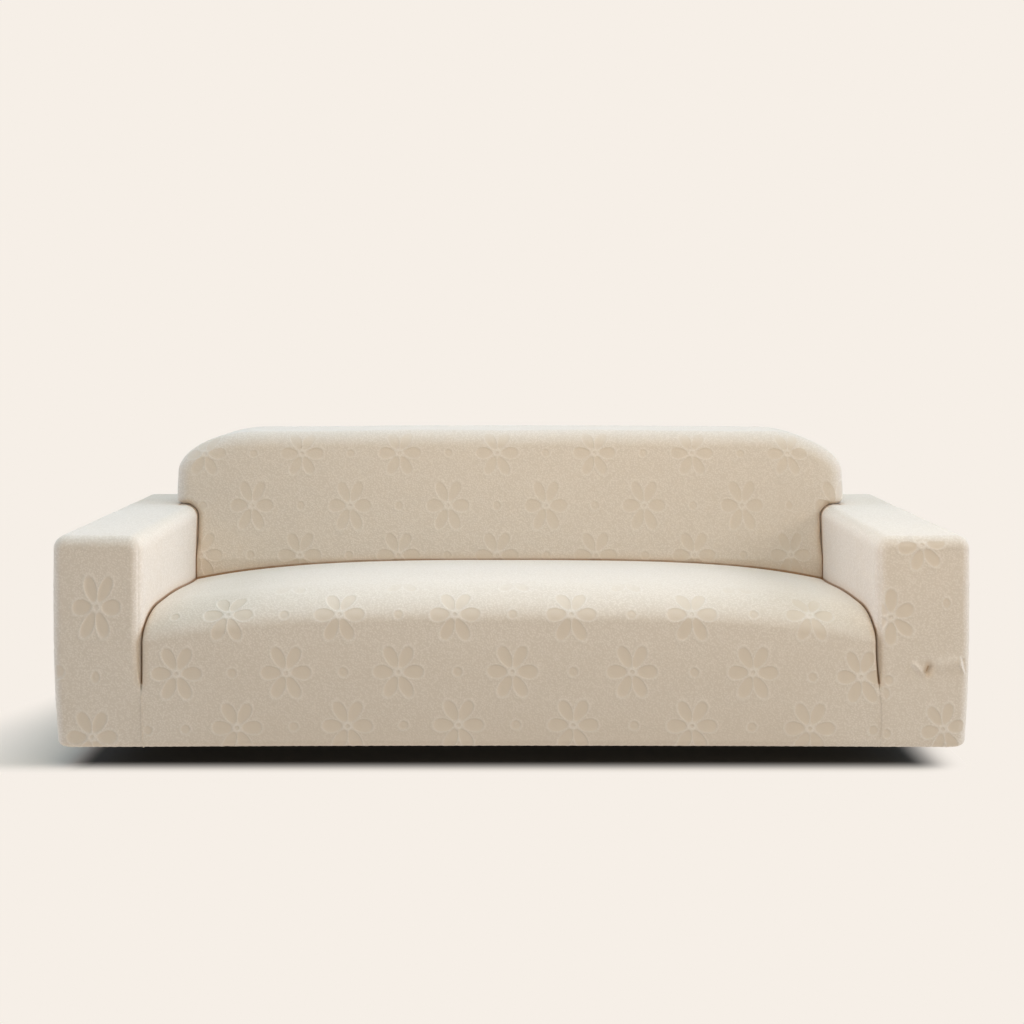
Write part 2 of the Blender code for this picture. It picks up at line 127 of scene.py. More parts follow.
# The grid: spacing of its points, and numbers of steps
CELL = 0.0043
ARC_STEPS = 10
FRONT_TURN_STEPS = 7
WRAP_TURN_STEPS = 6
CORNER_STEPS = 46
WIDE_STEPS = 208
# Heights of the two lowest lines on the back's cheeks
CHEEK_FOOT = 0.526
CHEEK_LOW = 0.535

# Lengths, shares and angles that are closer than this count as one
CLOSE = 1e-6
CLOSE_ANGLE = 1e-3


def finer(values, step=CELL):
    """The same run of values with more between them, no further apart than step."""
    out = [values[0]]
    for a, b in zip(values, values[1:]):
        count = max(1, ceil(abs(b - a) / step - CLOSE))
        out += [a + (b - a) * k / count for k in range(1, count + 1)]
    return out


def even(first, last, steps):
    return [first + (last - first) * k / steps for k in range(steps + 1)]


# Heights and places that neighbouring panels share
HEM_HEIGHTS = [HEM_CURL * (1 - sin(a)) for a in even(QUARTER, 0, steps=8)]
LOW_HEIGHTS = finer([HEM_CURL, GROOVE_FOOT, WRAP_FOOT])[1:]
SIDE_HEIGHTS = HEM_HEIGHTS + finer([HEM_CURL, ARM_HEIGHT - ARM_OUTER_RADIUS])[1:]
INNER_HEIGHTS = finer([WRAP_FOOT, GROOVE_FULL, ARM_HEIGHT - ARM_INNER_RADIUS])[1:]
CHEEK_HEIGHTS = finer([CHEEK_FOOT, CHEEK_LOW, TURN_TOP, BACK_HEIGHT - BACK_CORNER_HEIGHT])
ARM_TOP_INNER = finer([ARM_FACE + ARM_INNER_RADIUS, CHEEK - CHEEK_TUCK, CHEEK + GAP])[1:]
ARM_TOP_OUTER = finer([CHEEK + GAP, HALF - ARM_OUTER_RADIUS])[1:-1]
# Distances from the end of a row, and depths along an arm up to the back
EDGE_STEPS = list(reversed(finer([0.0, 0.002, 0.007, 0.017, 0.030])))
WRAP_DEPTHS = [FRONT_RADIUS, 0.05, 0.075, 0.10, 0.14, 0.20, 0.44]


def smooth(t):
    t = min(max(t, 0.0), 1.0)
    return t * t * (3 - 2 * t)


def turned_away(t):
    """How far a round edge has turned away: 1 at its end, 0 from one radius on."""
    t = min(max(t, 0.0), 1.0)
    return 1 - sqrt(1 - (1 - t) ** 2)


def hem_draw(z):
    """How far the hem pulls the cloth inwards at a height."""
    lean = HEM_LEAN * max(0.0, 1 - z / HEM_LEAN_HEIGHT) ** HEM_LEAN_POWER
    return lean + HEM_CURL * turned_away(z / HEM_CURL)


def groove(z):
    """0 where seat and arm are one flat front, 1 where the crease between them is full."""
    t = min(max((z - GROOVE_FOOT) / (GROOVE_FULL - GROOVE_FOOT), 0.0), 1.0)
    return t * (2 - t)


def drawn_depth(y, z):
    """A depth from the front, with the hem drawn in near the front and near the rear."""
    front = max(0.0, 1 - y / DRAW_REACH)
    rear = max(0.0, 1 - (DEPTH - y) / DRAW_REACH)
    return y + hem_draw(z) * (front - rear)


def back_front(z):
    """Depth of the leaning front of the back at a height."""
    return SEAT_DEPTH + BACK_LEAN * max(0.0, z - BACK_LEAN_FOOT)


def seat_height(x):
    """Crown of the seat across its width."""
    rise = 1 - min(abs(x) / ARM_FACE, 1.0) ** CROWN_POWER
    return SEAT_HEIGHT_AT_ARM + (SEAT_HEIGHT_MIDDLE - SEAT_HEIGHT_AT_ARM) * rise


def arm_clearance(x, z):
    """Distance from a point on the back to the arm beside or below it."""
    across = ARM_FACE + ARM_INNER_RADIUS - abs(x)
    above = z - (ARM_HEIGHT - ARM_INNER_RADIUS)
    if above < 0:
        return ARM_FACE - abs(x)
    if across < 0:
        return z - ARM_HEIGHT
    return hypot(across, above) - ARM_INNER_RADIUS


def foot_height(x):
    """Where the back's cloth ends on the top of the arm."""
    across = max(ARM_FACE + ARM_INNER_RADIUS - x, 0.0)
    radius = ARM_INNER_RADIUS + GAP
    return ARM_HEIGHT - ARM_INNER_RADIUS + sqrt(radius**2 - across**2)


def back_turn(x, y, z):
    """How far the back's cloth turns in where it meets an arm, fading towards the rear seam."""
    fade = 1 - smooth((y - TURN_FADE_START) / (TURN_FADE_END - TURN_FADE_START))
    fade *= smooth((z - BACK_LEAN_FOOT) / TURN_RISE)
    return BACK_TURN * fade * turned_away(arm_clearance(x, z) / BACK_TURN_WIDTH)


def columns(reach):
    """Places across a row, from its left end to its right end."""
    inner = reach - EDGE_STEPS[0]
    right = [inner * k / WIDE_STEPS for k in range(WIDE_STEPS)]
    right += [reach - step for step in EDGE_STEPS]
    return [-x for x in reversed(right[1:])] + right


def arc(first, last, steps):
    """Angles in radians between two in degrees."""
    return [radians(a) for a in even(first, last, steps)]


def seam_shift(radius):
    """Half of the gap at a seam, as an angle on the inner side of cloth bent to this radius."""
    return SEAM_GAP / 2 / max(radius - CLOTH, CLOTH / 2)


def rear_angles():
    """Angles of the lines on a rounded rear edge, from the flat side to the seam."""
    turn = even(0, REAR_SEAM_ANGLE - STRIP_ANGLE, steps=8)
    return turn + [REAR_SEAM_ANGLE - seam_shift(REAR_RADIUS)]


def settled(points):
    """The places of the taut pattern's points on the worn cover, for an array of points."""
    x, y, z = points.T
    step = np.clip((z - SPREAD_START) / SPREAD_RISE, 0, 1)
    spread = np.exp(-(((x - ARM_FACE) / SPREAD_REACH) ** 2)) * step**2 * (3 - 2 * step)
    hem = np.maximum(0, 1 - (x / HALF) ** 2) * np.maximum(0, 1 - z / HEM_RISE_HEIGHT)
    out = np.clip((np.abs(x) - CROWN_START) / CROWN_REACH, 0, 1)
    up = np.clip((z - CROWN_FOOT) / CROWN_RISE, 0, 1)
    shoulder = out**2 * (3 - 2 * out) * up**2 * (3 - 2 * up)
    return np.stack([x - RIGHT_ARM_SPREAD * spread, y, z + HEM_RISE * hem - TOP_CROWN * shoulder], 1)


def run_lengths(points):
    """Length along a run of points, from its first."""
    steps = np.linalg.norm(np.diff(np.array(points), axis=0), axis=1)
    return np.concatenate([[0.0], np.cumsum(steps)])


# Each patches function gives grids of points, and with each grid the cloth's own coordinates in metres


def seat_rows(x):
    """The seat's column at x: depth, height and inward way of each row, and the fall of its side edge."""
    top = seat_height(x)
    roll_foot = top - ROLL_HEIGHT
    heights = HEM_HEIGHTS + even(HEM_CURL, GROOVE_FOOT, steps=26)[1:]
    heights += even(GROOVE_FOOT, roll_foot, steps=42)[1:-1]
    rows = [(hem_draw(z), z, 1, 0) for z in heights]
    for a in arc(0, 90, steps=40):
        y = ROLL_DEPTH * (1 - cos(a))
        rows.append((y, roll_foot + ROLL_HEIGHT * sin(a), cos(a), -sin(a)))
    side = SEAT_EDGE * turned_away((ARM_FACE - GAP - abs(x)) / SEAT_EDGE)
    start = SEAT_DEPTH - GAP - CREVICE_RADIUS
    for part in even(0, 1, steps=88)[1:-1]:
        y = ROLL_DEPTH + part * (start - ROLL_DEPTH)
        rows.append((y, top - SEAT_REAR_DROP * smooth(part) ** 2, 0, -1))
    for a in arc(0, 90, steps=8):
        y = start + CREVICE_RADIUS * sin(a)
        rows.append((y, top - SEAT_REAR_DROP - CREVICE_RADIUS * (1 - cos(a)), 0, -1))
    return rows, side


def seat_patches():
    reach = ARM_FACE - GAP
    right = even(0, reach - SEAT_EDGE, steps=203)[:-1]
    right += [reach - SEAT_EDGE * (1 - sin(a)) for a in arc(0, 90, steps=7)]
    last = right[-1]
    grid = []
    chart = []
    for x in [-x for x in reversed(right[1:])] + right:
        rows, side = seat_rows(x)
        along = run_lengths([row[:2] for row in rows])
        line = []
        for y, z, inward_y, inward_z in rows:
            drop = side * groove(z)
            sewn = 0.0
            if abs(x) == last and inward_y and z < SEWN_HEIGHT:
                sewn = GAP + SEWN_TUCK * bell(z, SEWN_TUCK_HEIGHT, SEWN_TUCK_REACH)
            line.append((x + copysign(sewn, x), y + inward_y * drop, z + inward_z * drop))
        grid.append(line)
        chart.append([(x, v) for v in along])
    return [(grid, chart)]


def arm_arc(x, radius, side, first, last):
    """A rounded top edge of the arm: places, outward ways, and 1 where the front edge is fully round."""
    z = ARM_HEIGHT - radius
    return [
        (x + side * radius * cos(a), z + radius * sin(a), side * cos(a), sin(a), 1)
        for a in arc(first, last, ARC_STEPS)
    ]


ARM_INNER_ARC = arm_arc(ARM_FACE + ARM_INNER_RADIUS, ARM_INNER_RADIUS, side=-1, first=0, last=90)
ARM_OUTER_ARC = arm_arc(HALF - ARM_OUTER_RADIUS, ARM_OUTER_RADIUS, side=1, first=90, last=0)


def drawn_in(edge, inset, depth):
    """The point of an outline's edge that is set in and at a depth, with the hem drawn in."""
    x, z, out_x, out_z = edge[:4]
    z -= out_z * inset
    return (x - out_x * inset, drawn_depth(depth, z), z)


def seen_flat(patches):
    """Patches whose cloth coordinates are their places seen from the front."""
    return [(patch, [[(x, z) for x, y, z in row] for row in patch]) for patch in patches]


def edge_turn(angle, full, towards):
    """Inset and depth on the arm's rounded front edge, whose lines move off the seam by half its gap."""
    radius = FRONT_RADIUS * full
    end = 0 if towards < 0 else QUARTER
    angle += towards * (2 - full) * seam_shift(radius) * (end - angle) / (end - SEAM_ANGLE)
    return radius * (1 - sin(angle)), radius * (1 - cos(angle))


def front_edge_point(edge, angle):
    full = edge[4]
    inset, depth = edge_turn(angle, full, -1)
    inset += (1 - full) * (FRONT_RADIUS * (1 - angle / SEAM_ANGLE) ** 2 + SEAM_GAP / 2)
    return drawn_in(edge, inset, depth)


def arm_front_patches(side):
    heights = HEM_HEIGHTS + LOW_HEIGHTS + INNER_HEIGHTS[:-1]
    left = ARM_FACE + ARM_INNER_RADIUS
    right = HALF - ARM_OUTER_RADIUS
    inner_side = [(ARM_FACE, z, -1, 0, groove(z)) for z in heights]
    outer_side = [(HALF - hem_draw(z), z, 1, 0, 1) for z in reversed(heights)]
    tops = [(x, ARM_HEIGHT, 0, 1, 1) for x in even(left, right, steps=44)[1:-1]]
    loop = inner_side + ARM_INNER_ARC + tops + ARM_OUTER_ARC + outer_side
    angles = [SEAM_ANGLE * k / FRONT_TURN_STEPS for k in range(FRONT_TURN_STEPS)]
    angles += [SEAM_ANGLE - STRIP_ANGLE, SEAM_ANGLE]
    rings = [[front_edge_point(edge, angle) for edge in loop] for angle in angles]
    steps = len(heights) + ARC_STEPS
    inner = rings[0]
    across = inner[steps : len(inner) - steps]
    shares = [(p[0] - across[0][0]) / (across[-1][0] - across[0][0]) for p in across]
    rows = []
    for a, b in zip(inner[: steps + 1], reversed(inner[len(inner) - steps - 1 :])):
        row = [tuple(p + (q - p) * share for p, q in zip(a, b)) for share in shares]
        rows.append([(x, drawn_depth(0, z), z) for x, y, z in row])
    return seen_flat([mirrored(twice_as_fine(patch), side) for patch in (rings, rows)])


def halved(grid):
    """A grid with a row between each two, on the smooth curve through its columns."""
    ends = np.concatenate([2 * grid[:1] - grid[1:2], grid, 2 * grid[-1:] - grid[-2:-1]])
    middles = (9 * (ends[1:-2] + ends[2:-1]) - ends[:-3] - ends[3:]) / 16
    out = np.empty((2 * len(grid) - 1, *grid.shape[1:]))
    out[::2] = grid
    out[1::2] = middles
    return out


def twice_as_fine(rows):
    grid = halved(np.array(rows))
    return halved(grid.transpose(1, 0, 2)).transpose(1, 0, 2).tolist()


def mirrored(rows, side):
    return [[(side * x, y, z) for x, y, z in row] for row in rows]


def wrap_foot(depth):
    start = FRONT_RADIUS * (1 - cos(SEAM_ANGLE))
    rise = smooth((depth - start) / (ARM_TUCK_RUN - start))
    return WRAP_FOOT + (ARM_TUCK_HEIGHT - WRAP_FOOT) * rise


def wrap_edges(depth):
    top = ARM_HEIGHT - ARM_INNER_RADIUS
    foot = wrap_foot(depth)
    edges = []
    for height in [WRAP_FOOT] + INNER_HEIGHTS[:-1]:
        z = foot + (height - WRAP_FOOT) / (top - WRAP_FOOT) * (top - foot)
        edges.append((ARM_FACE, z, -1, 0, groove(z)))
    edges += ARM_INNER_ARC
    edges += [(x, ARM_HEIGHT, 0, 1, 1) for x in ARM_TOP_INNER + ARM_TOP_OUTER]
    edges += ARM_OUTER_ARC
    return edges + [(HALF - hem_draw(z), z, 1, 0, 1) for z in reversed(SIDE_HEIGHTS[:-1])]


WRAP_TURN = len(INNER_HEIGHTS) + ARC_STEPS + 1 + ARM_TOP_INNER.index(CHEEK - CHEEK_TUCK)
WRAP_CHEEK = len(INNER_HEIGHTS) + ARC_STEPS + len(ARM_TOP_INNER)


def wrap_line(depth, inset=0.0):
    line = [drawn_in(edge, inset, depth) for edge in wrap_edges(depth)]
    if inset:
        line[WRAP_CHEEK] = (CHEEK - inset + CORNER_GAP, depth, ARM_HEIGHT - inset)
        line[WRAP_CHEEK - 1] = (CHEEK - inset, depth, ARM_HEIGHT - inset)
    return line


def front_wrap_lines():
    angles = [SEAM_ANGLE, SEAM_ANGLE + STRIP_ANGLE]
    for k in range(1, WRAP_TURN_STEPS + 1):
        angles.append(SEAM_ANGLE + (QUARTER - SEAM_ANGLE) * k / WRAP_TURN_STEPS)
    lines = []
    for angle in angles:
        line = []
        for edge in wrap_edges(FRONT_RADIUS * (1 - cos(angle))):
            inset, depth = edge_turn(angle, edge[4], 1)
            line.append(drawn_in(edge, inset, depth))
        lines.append(line)
    return lines


def between(near, far, count):
    """Lines between two, each moved a share of the way."""
    near, far = np.array(near), np.array(far)
    return [[tuple(p) for p in near + (far - near) * k / count] for k in range(1, count)]


def arm_wrap_patches(side):
    front = front_wrap_lines() + [wrap_line(depth) for depth in finer(WRAP_DEPTHS)[1:]]
    end_depth = back_front(ARM_HEIGHT) + ARM_TUCK
    end = wrap_line(end_depth)
    end = [(x, back_front(z) + ARM_TUCK, z) for x, y, z in end[:WRAP_TURN]] + end[WRAP_TURN:]
    front += between(front[-1], end, round((end_depth - WRAP_DEPTHS[-1]) / CELL)) + [end]
    rear_start = DEPTH - REAR_RADIUS
    rear = []
    for angle in rear_angles():
        depth = rear_start + REAR_RADIUS * sin(angle)
        rear.append(wrap_line(depth, REAR_RADIUS * (1 - cos(angle))))
    middle = [wrap_line(depth) for depth in finer([end_depth, rear_start])[1:-1]]
    patches = []
    for lines, start in ((front, 0), ([end] + middle + rear[:1], WRAP_TURN), (rear, WRAP_CHEEK)):
        chart = []
        for line in lines:
            across = run_lengths([(x, z) for x, y, z in line])
            across -= across[WRAP_TURN]
            chart.append([(p[1], v) for p, v in zip(line, across)][start:])
        patches.append((mirrored([line[start:] for line in lines], side), chart))
    return patches


def back_outline():
    points = [(CHEEK, z, 1, 0) for z in CHEEK_HEIGHTS]
    x = CHEEK - BACK_CORNER_WIDTH
    z = BACK_HEIGHT - BACK_CORNER_HEIGHT
    for a in arc(0, 90, CORNER_STEPS)[1:]:
        out_x = cos(a) / BACK_CORNER_WIDTH
        out_z = sin(a) / BACK_CORNER_HEIGHT
        size = hypot(out_x, out_z)
        corner = (x + BACK_CORNER_WIDTH * cos(a), z + BACK_CORNER_HEIGHT * sin(a))
        points.append((*corner, out_x / size, out_z / size))
    tops = [c for c in reversed(columns(x)) if -CLOSE < c < x - CLOSE]
    return points + [(max(c, 0.0), BACK_HEIGHT, 0, 1) for c in tops]


def whole_loop(half):
    """The right half of a ring of points with its mirror image, from right to left."""
    return half + [(-p[0], *p[1:]) for p in reversed(half[:-1])]


def back_ring(inset, depth_past_front, turn_angle, drop=0.0, depth=None):
    """A ring round the back: set in, and past the leaning front by a depth, or at a given depth."""
    foot_x = CHEEK - inset
    ring = [(foot_x, foot_height(foot_x) - drop + (CORNER_GAP if drop else 0), 1, 0)]
    for x, z, out_x, out_z in back_outline():
        ring.append((x - out_x * inset, z - out_z * inset, out_x, out_z))
    half = []
    for x, z, out_x, out_z in ring:
        y = back_front(z) + depth_past_front if depth is None else depth
        turn = back_turn(x, y, z)
        half.append((x - out_x * sin(turn_angle) * turn, y + cos(turn_angle) * turn, z))
    return whole_loop(half)


def back_rings():
    radius = BACK_EDGE_RADIUS
    rings = []
    for angle in arc(0, 90, steps=16):
        rings.append(back_ring(radius * (1 - sin(angle)), radius * (1 - cos(angle)), angle))
    rear_start = DEPTH - REAR_RADIUS
    front_edge = rings[-1]
    flat_rear = back_ring(0, 0, QUARTER, depth=rear_start)
    for part in even(0, 1, steps=34)[1:-1]:
        ring = []
        for near, (x, far_y, z) in zip(front_edge, flat_rear):
            y = near[1] + (far_y - near[1]) * part
            turn = copysign(back_turn(x, y, z), x) if z < TURN_TOP else 0.0
            ring.append((x - turn, y, z))
        rings.append(ring)
    for angle in rear_angles():
        inset = REAR_RADIUS * (1 - cos(angle))
        depth = rear_start + REAR_RADIUS * sin(angle)
        rings.append(back_ring(inset, 0, QUARTER, drop=inset, depth=depth))
    return rings


def back_face_rows():
    centre_x = ARM_FACE + ARM_INNER_RADIUS
    centre_z = ARM_HEIGHT - ARM_INNER_RADIUS
    radius = ARM_INNER_RADIUS + GAP
    ends = [(ARM_FACE - GAP, z) for z in finer([BACK_FOOT, BACK_LEAN_FOOT, centre_z])[:-1]]
    last = acos((centre_x - (CHEEK - BACK_EDGE_RADIUS)) / radius)
    for a in [a for a in arc(0, 90, ARC_STEPS) if a < last - CLOSE_ANGLE] + [last]:
        ends.append((centre_x - radius * cos(a), centre_z + radius * sin(a)))
    inset = BACK_EDGE_RADIUS
    for x, z, out_x, out_z in back_outline():
        if out_z < 1 - CLOSE:
            ends.append((x - out_x * inset, z - out_z * inset))
    ends.append((CHEEK - BACK_CORNER_WIDTH, BACK_HEIGHT - inset))
    rows = []
    for reach, z in ends:
        face = back_front(z)
        rows.append([(x, face + back_turn(x, face, z), z) for x in columns(reach)])
    return rows


def inside_back_patches():
    rows = back_face_rows()
    along = run_lengths([(back_front(row[0][2]), row[0][2]) for row in rows])
    chart = [[(x, v) for x, y, z in row] for row, v in zip(rows, along)]
    heights = [row[0][2] for row in rows]
    rings = back_rings()
    outline = [(1.0, 0.0)] + [(out_x, out_z) for x, z, out_x, out_z in back_outline()]
    outline = np.array(outline + [(-a, b) for a, b in reversed(outline[:-1])])
    start = np.array([(x, np.interp(z, heights, along)) for x, y, z in rings[0]])
    steps = np.linalg.norm(np.diff(np.array(rings), axis=0), axis=2)
    past = np.concatenate([np.zeros((1, len(outline))), np.cumsum(steps, axis=0)])
    ring_chart = start[None] + outline[None] * past[:, :, None]
    return [(rows, chart), (rings, ring_chart)]


def rear_outline():
    points = [(HALF - hem_draw(z), z, 1, 0) for z in SIDE_HEIGHTS[:-1]]
    points += [(x, z, out_x, out_z) for x, z, out_x, out_z, _ in reversed(ARM_OUTER_ARC)]
    points += [(x, ARM_HEIGHT, 0, 1) for x in reversed(ARM_TOP_OUTER)]
    points.append((CHEEK + CORNER_STEP, ARM_HEIGHT, 1, 1))
    points.append((CHEEK, ARM_HEIGHT, 1, 1))
    points.append((CHEEK, ARM_HEIGHT + CORNER_STEP, 1, 1))
    return points + back_outline()


def rear_ring(angle):
    inset = REAR_RADIUS * (1 - cos(angle))
    depth = DEPTH - REAR_RADIUS * (1 - sin(angle))
    return whole_loop([drawn_in(edge, inset, depth) for edge in rear_outline()])


def outside_back_patches():
    start = REAR_SEAM_ANGLE + seam_shift(REAR_RADIUS)
    angles = [start, REAR_SEAM_ANGLE + STRIP_ANGLE] + even(start, QUARTER, steps=3)[1:]
    rings = [rear_ring(a) for a in angles]
    flat = rings[-1]
    arm_rows = len(SIDE_HEIGHTS) + ARC_STEPS
    corner = arm_rows + len(ARM_TOP_OUTER)
    beside = flat[corner][0]
    end = flat[arm_rows - 1][0]
    shares = [(p[0] - beside) / (end - beside) for p in flat[arm_rows - 1 : corner + 1]]
    middle = columns(CHEEK - REAR_RADIUS)
    low = []
    for x, y, z in flat[:arm_rows]:
        right = [beside + share * (x - beside) for share in reversed(shares)]
        low.append([(c, y, z) for c in [-c for c in reversed(right)] + middle + right])
    high = []
    for x, y, z in flat[corner + 1 : corner + 3 + len(CHEEK_HEIGHTS) + CORNER_STEPS]:
        high.append([(c, y, z) for c in columns(x)])
    return seen_flat([rings, low, high])


# Motifs on the cloth: a flower of six petals or a small sunken dot


FLOWER = 0
DOT = 1
HALF_STEP = 0.1393
ROW_STEP = 0.139
# A dot counts as this many times further off, so that it claims less cloth than a flower
DOT_FARNESS = 1.5
# Petals in one quarter of a flower: angle, distance of the middle, half length, half width
PETALS = [(0.0, 0.0368, 0.0237, 0.0160), (radians(64), 0.0400, 0.0272, 0.0142)]
PETAL_TAPER = 0.18
HEART_RADIUS = 0.0080
DOT_RADIUS = 0.0112
DOT_RIM = 0.0140

# Rows of the apron and the roll: height on the cloth, sag towards the sides, flowers, dots
SEAT_ROWS = [
    (
        0.0690,
        0.016,
        (-0.668, -0.399, -0.129, 0.150, 0.4395, 0.726),
        (-0.885, -0.793, -0.530, -0.2625, 0.011, 0.298, 0.585, 0.880),
    ),
    (0.2020, 0.0086, (-0.814, -0.548, -0.275, 0.002, 0.293, 0.587), (-0.679, -0.409, -0.131, 0.150, 0.444)),
    (0.1883, 0.0, (0.8555,), (0.7324,)),
    (
        0.3410,
        0.0,
        (-0.692, -0.419, -0.1375, 0.1455, 0.439, 0.731),
        (-0.825, -0.554, -0.275, 0.003, 0.292, 0.590),
    ),
]


# Rows of the back: height on the cloth, odd or even start, heightening
BACK_ROWS = [
    (-0.0195, 1, 1.0),
    (0.126, 0, 1.0),
    (0.266, 1, 1.1),
    (0.417, 0, 1.0),
    (0.5625, 1, 1.0),
    (0.708, 0, 1.0),
]


def charted(rows):
    """Motifs of rows that sag with the square of the distance from the middle."""
    motifs = []
    for v, sag, flowers, dots in rows:
        for kind, places in ((FLOWER, flowers), (DOT, dots)):
            motifs += [(u, v - sag * u * u, kind, 0.0, 1.0, 1.0, 0.0) for u in places]
    return motifs


def lattice(rows, reach, half_step=HALF_STEP, shift=0.0):
    """Flowers and dots in turn along rows of a place, an odd or even start, and a heightening."""
    motifs = []
    for v, odd, high in rows:
        count = int(reach / half_step) + 2
        for k in range(-count, count + 1):
            motifs.append((k * half_step + shift, v, (k + odd) % 2, 0.0, 1.0, high, 0.0))
    return motifs


def even_rows(first, count, step=ROW_STEP):
    return [(first + step * k, k % 2, 1.0) for k in range(count)]


SEAT_MOTIFS = charted(SEAT_ROWS) + lattice(even_rows(first=0.48, count=4), reach=0.9, shift=0.006)
BACK_MOTIFS = lattice(BACK_ROWS, reach=1.0, half_step=0.1407, shift=-0.042)
REAR_MOTIFS = lattice(even_rows(first=0.05, count=6), reach=1.12, shift=0.03)
WRAP_MOTIFS = lattice(even_rows(first=-0.55, count=10), reach=0.9, shift=0.02)

# x, z, kind, turn in degrees, widening, heightening, shear
LEFT_FRONT_MOTIFS = [
    (-1.008, 0.347, FLOWER, 0, 0.95, 1.20, 0.08),
    (-1.021, 0.029, FLOWER, 0, 1.0, 1.0, 0),
    (-1.0114, 0.177, DOT, 0, 0.9, 1.3, 0),
    (-1.146, 0.19, FLOWER, 0, 1.0, 1.0, 0),
]
RIGHT_FRONT_MOTIFS = [
    (1.002, 0.498, FLOWER, 10, 0.90, 0.92, 0),
    (0.9325, 0.323, FLOWER, 25, 0.90, 1.0, 0),
    (1.050, 0.049, FLOWER, 10, 0.88, 0.98, 0),
    (1.058, 0.357, DOT, 0, 0.8, 1.1, 0),
    (0.924, 0.170, DOT, 0, 1.0, 1.0, 0),
    (0.912, 0.038, DOT, 0, 1.0, 1.0, 0),
    (0.914, 0.137, DOT, 20, 0.8, 1.25, 0),
]


def nearest_motifs(places, table):
    """For each place on the cloth, the nearest motif of a table."""
    best = np.zeros(len(places), int)
    nearest = np.full(len(places), np.inf)
    for k, (u, v, kind, turn, wide, high, shear) in enumerate(table):
        far = np.hypot((places[:, 0] - u) / wide, (places[:, 1] - v) / high)
        far *= DOT_FARNESS if kind == DOT else 1.0
        closer = far < nearest
        best[closer] = k
        nearest[closer] = far[closer]
    return table[best]


def local(places, motifs):
    """Coordinates of places on the cloth seen each from its own motif, and that motif's kind."""
    u, v, kind, turn, wide, high, shear = motifs.T
    dv = (places[:, 1] - v) / high
    du = (places[:, 0] - u - shear * (places[:, 1] - v)) / wide
    c, s = np.cos(np.radians(turn)), np.sin(np.radians(turn))
    return c * du + s * dv, c * dv - s * du, kind


def petal_distance(u, v):
    """Distance to the edge of the nearest petal, below 0 inside it."""
    u, v = np.abs(u), np.abs(v)
    edges = []
    for turn, reach, length, width in PETALS:
        along = (u * cos(turn) + v * sin(turn) - reach) / length
        bulge = 1 + PETAL_TAPER * np.clip(along, -1, 1)
        across = (v * cos(turn) - u * sin(turn)) / (width * bulge)
        edges.append((np.hypot(along, across) - 1) * width)
    return np.minimum(*edges)


def soft_step(value, low, high):
    t = np.clip((value - low) / (high - low), 0, 1)
    return t * t * (3 - 2 * t)


def bell(value, centre, width):
    return np.exp(-(((value - centre) / width) ** 2))


# Relief of the motifs, in metres: heights, then where a petal and a dot slope down, and a ring's width
PETAL_DEPTH = 0.0009
PETAL_RIM = 0.0004
HEART_RIM = 0.0005
DOT_DEPTH = 0.0007
DOT_RIM_HEIGHT = 0.0003
PETAL_SLOPE = (-0.006, 0.001)
DOT_SLOPE = (0.006, DOT_RADIUS)
RING_WIDTH = 0.003


def relief(u, v, kind):
    """Height of the pattern in metres: sunken petals with a raised rim, and small sunken dots."""
    edge = petal_distance(u, v)
    radius = np.hypot(u, v)
    flower = PETAL_RIM * bell(edge, RING_WIDTH, RING_WIDTH)
    flower -= PETAL_DEPTH * (1 - soft_step(edge, *PETAL_SLOPE))
    flower += HEART_RIM * bell(radius, HEART_RADIUS, RING_WIDTH)
    dot = DOT_RIM_HEIGHT * bell(radius, DOT_RIM, RING_WIDTH)
    dot -= DOT_DEPTH * (1 - soft_step(radius, *DOT_SLOPE))
    return np.where(kind == DOT, dot, flower)


# Small puckers and dents of each panel: start and end on the cloth, half width, height
CREASES = {
    "arm_front_right": [
        ((1.0145, 0.1895), (1.0185, 0.2015), 0.0085, -0.0100),
        ((1.0060, 0.1880), (1.0140, 0.1850), 0.0045, -0.0020),
        ((0.9840, 0.2090), (1.0035, 0.1850), 0.0055, 0.0055),
        ((1.0420, 0.2060), (1.0740, 0.2140), 0.0150, 0.0050),
        ((1.0890, 0.2230), (1.0910, 0.2060), 0.0032, 0.0036),
        ((1.0910, 0.2060), (1.0980, 0.1880), 0.0032, 0.0036),
        ((1.0975, 0.2200), (1.1040, 0.1900), 0.0034, -0.0014),
        ((1.0120, 0.1750), (1.0320, 0.1300), 0.0120, -0.0012),
    ],
    "arm_front_left": [((-0.904, 0.165), (-0.93, 0.20), 0.009, -0.0012)],
}
# A pucker deeper than the first gets painted shade as a fold does, from the second distance on
PIT_DEPTH = 0.005
PIT_SHADE = 0.0018
NO_SHADE = 1.0


def creases(name, chart):
    """Height that the panel's small puckers add, and a distance that paints shade on the deep ones as on
    folds.
    """
    height = np.zeros(len(chart))
    shade = np.full(len(chart), NO_SHADE)
    for start, end, width, rise in CREASES.get(name, ()):
        start, end = np.array(start), np.array(end)
        run = end - start
        t = np.clip((chart - start) @ run / (run @ run), 0, 1)
        far = np.linalg.norm(chart - start - t[:, None] * run, axis=1)
        height += rise * bell(far, 0, width)
        if rise < -PIT_DEPTH:
            shade = np.minimum(shade, PIT_SHADE + far)
    return height, shade


def each(function, *values):
    """A function of single numbers, for arrays of them."""
    return np.array([function(*row) for row in zip(*(v.tolist() for v in values))])


def side_height(y):
    """Height of the seat's side edge at a depth from the front, for an array of depths."""
    drop = SEAT_REAR_DROP * soft_step(y, ROLL_DEPTH, SEAT_DEPTH - CREVICE_RADIUS) ** 2
    return SEAT_HEIGHT_AT_ARM - ROLL_HEIGHT * each(turned_away, y / ROLL_DEPTH) - drop
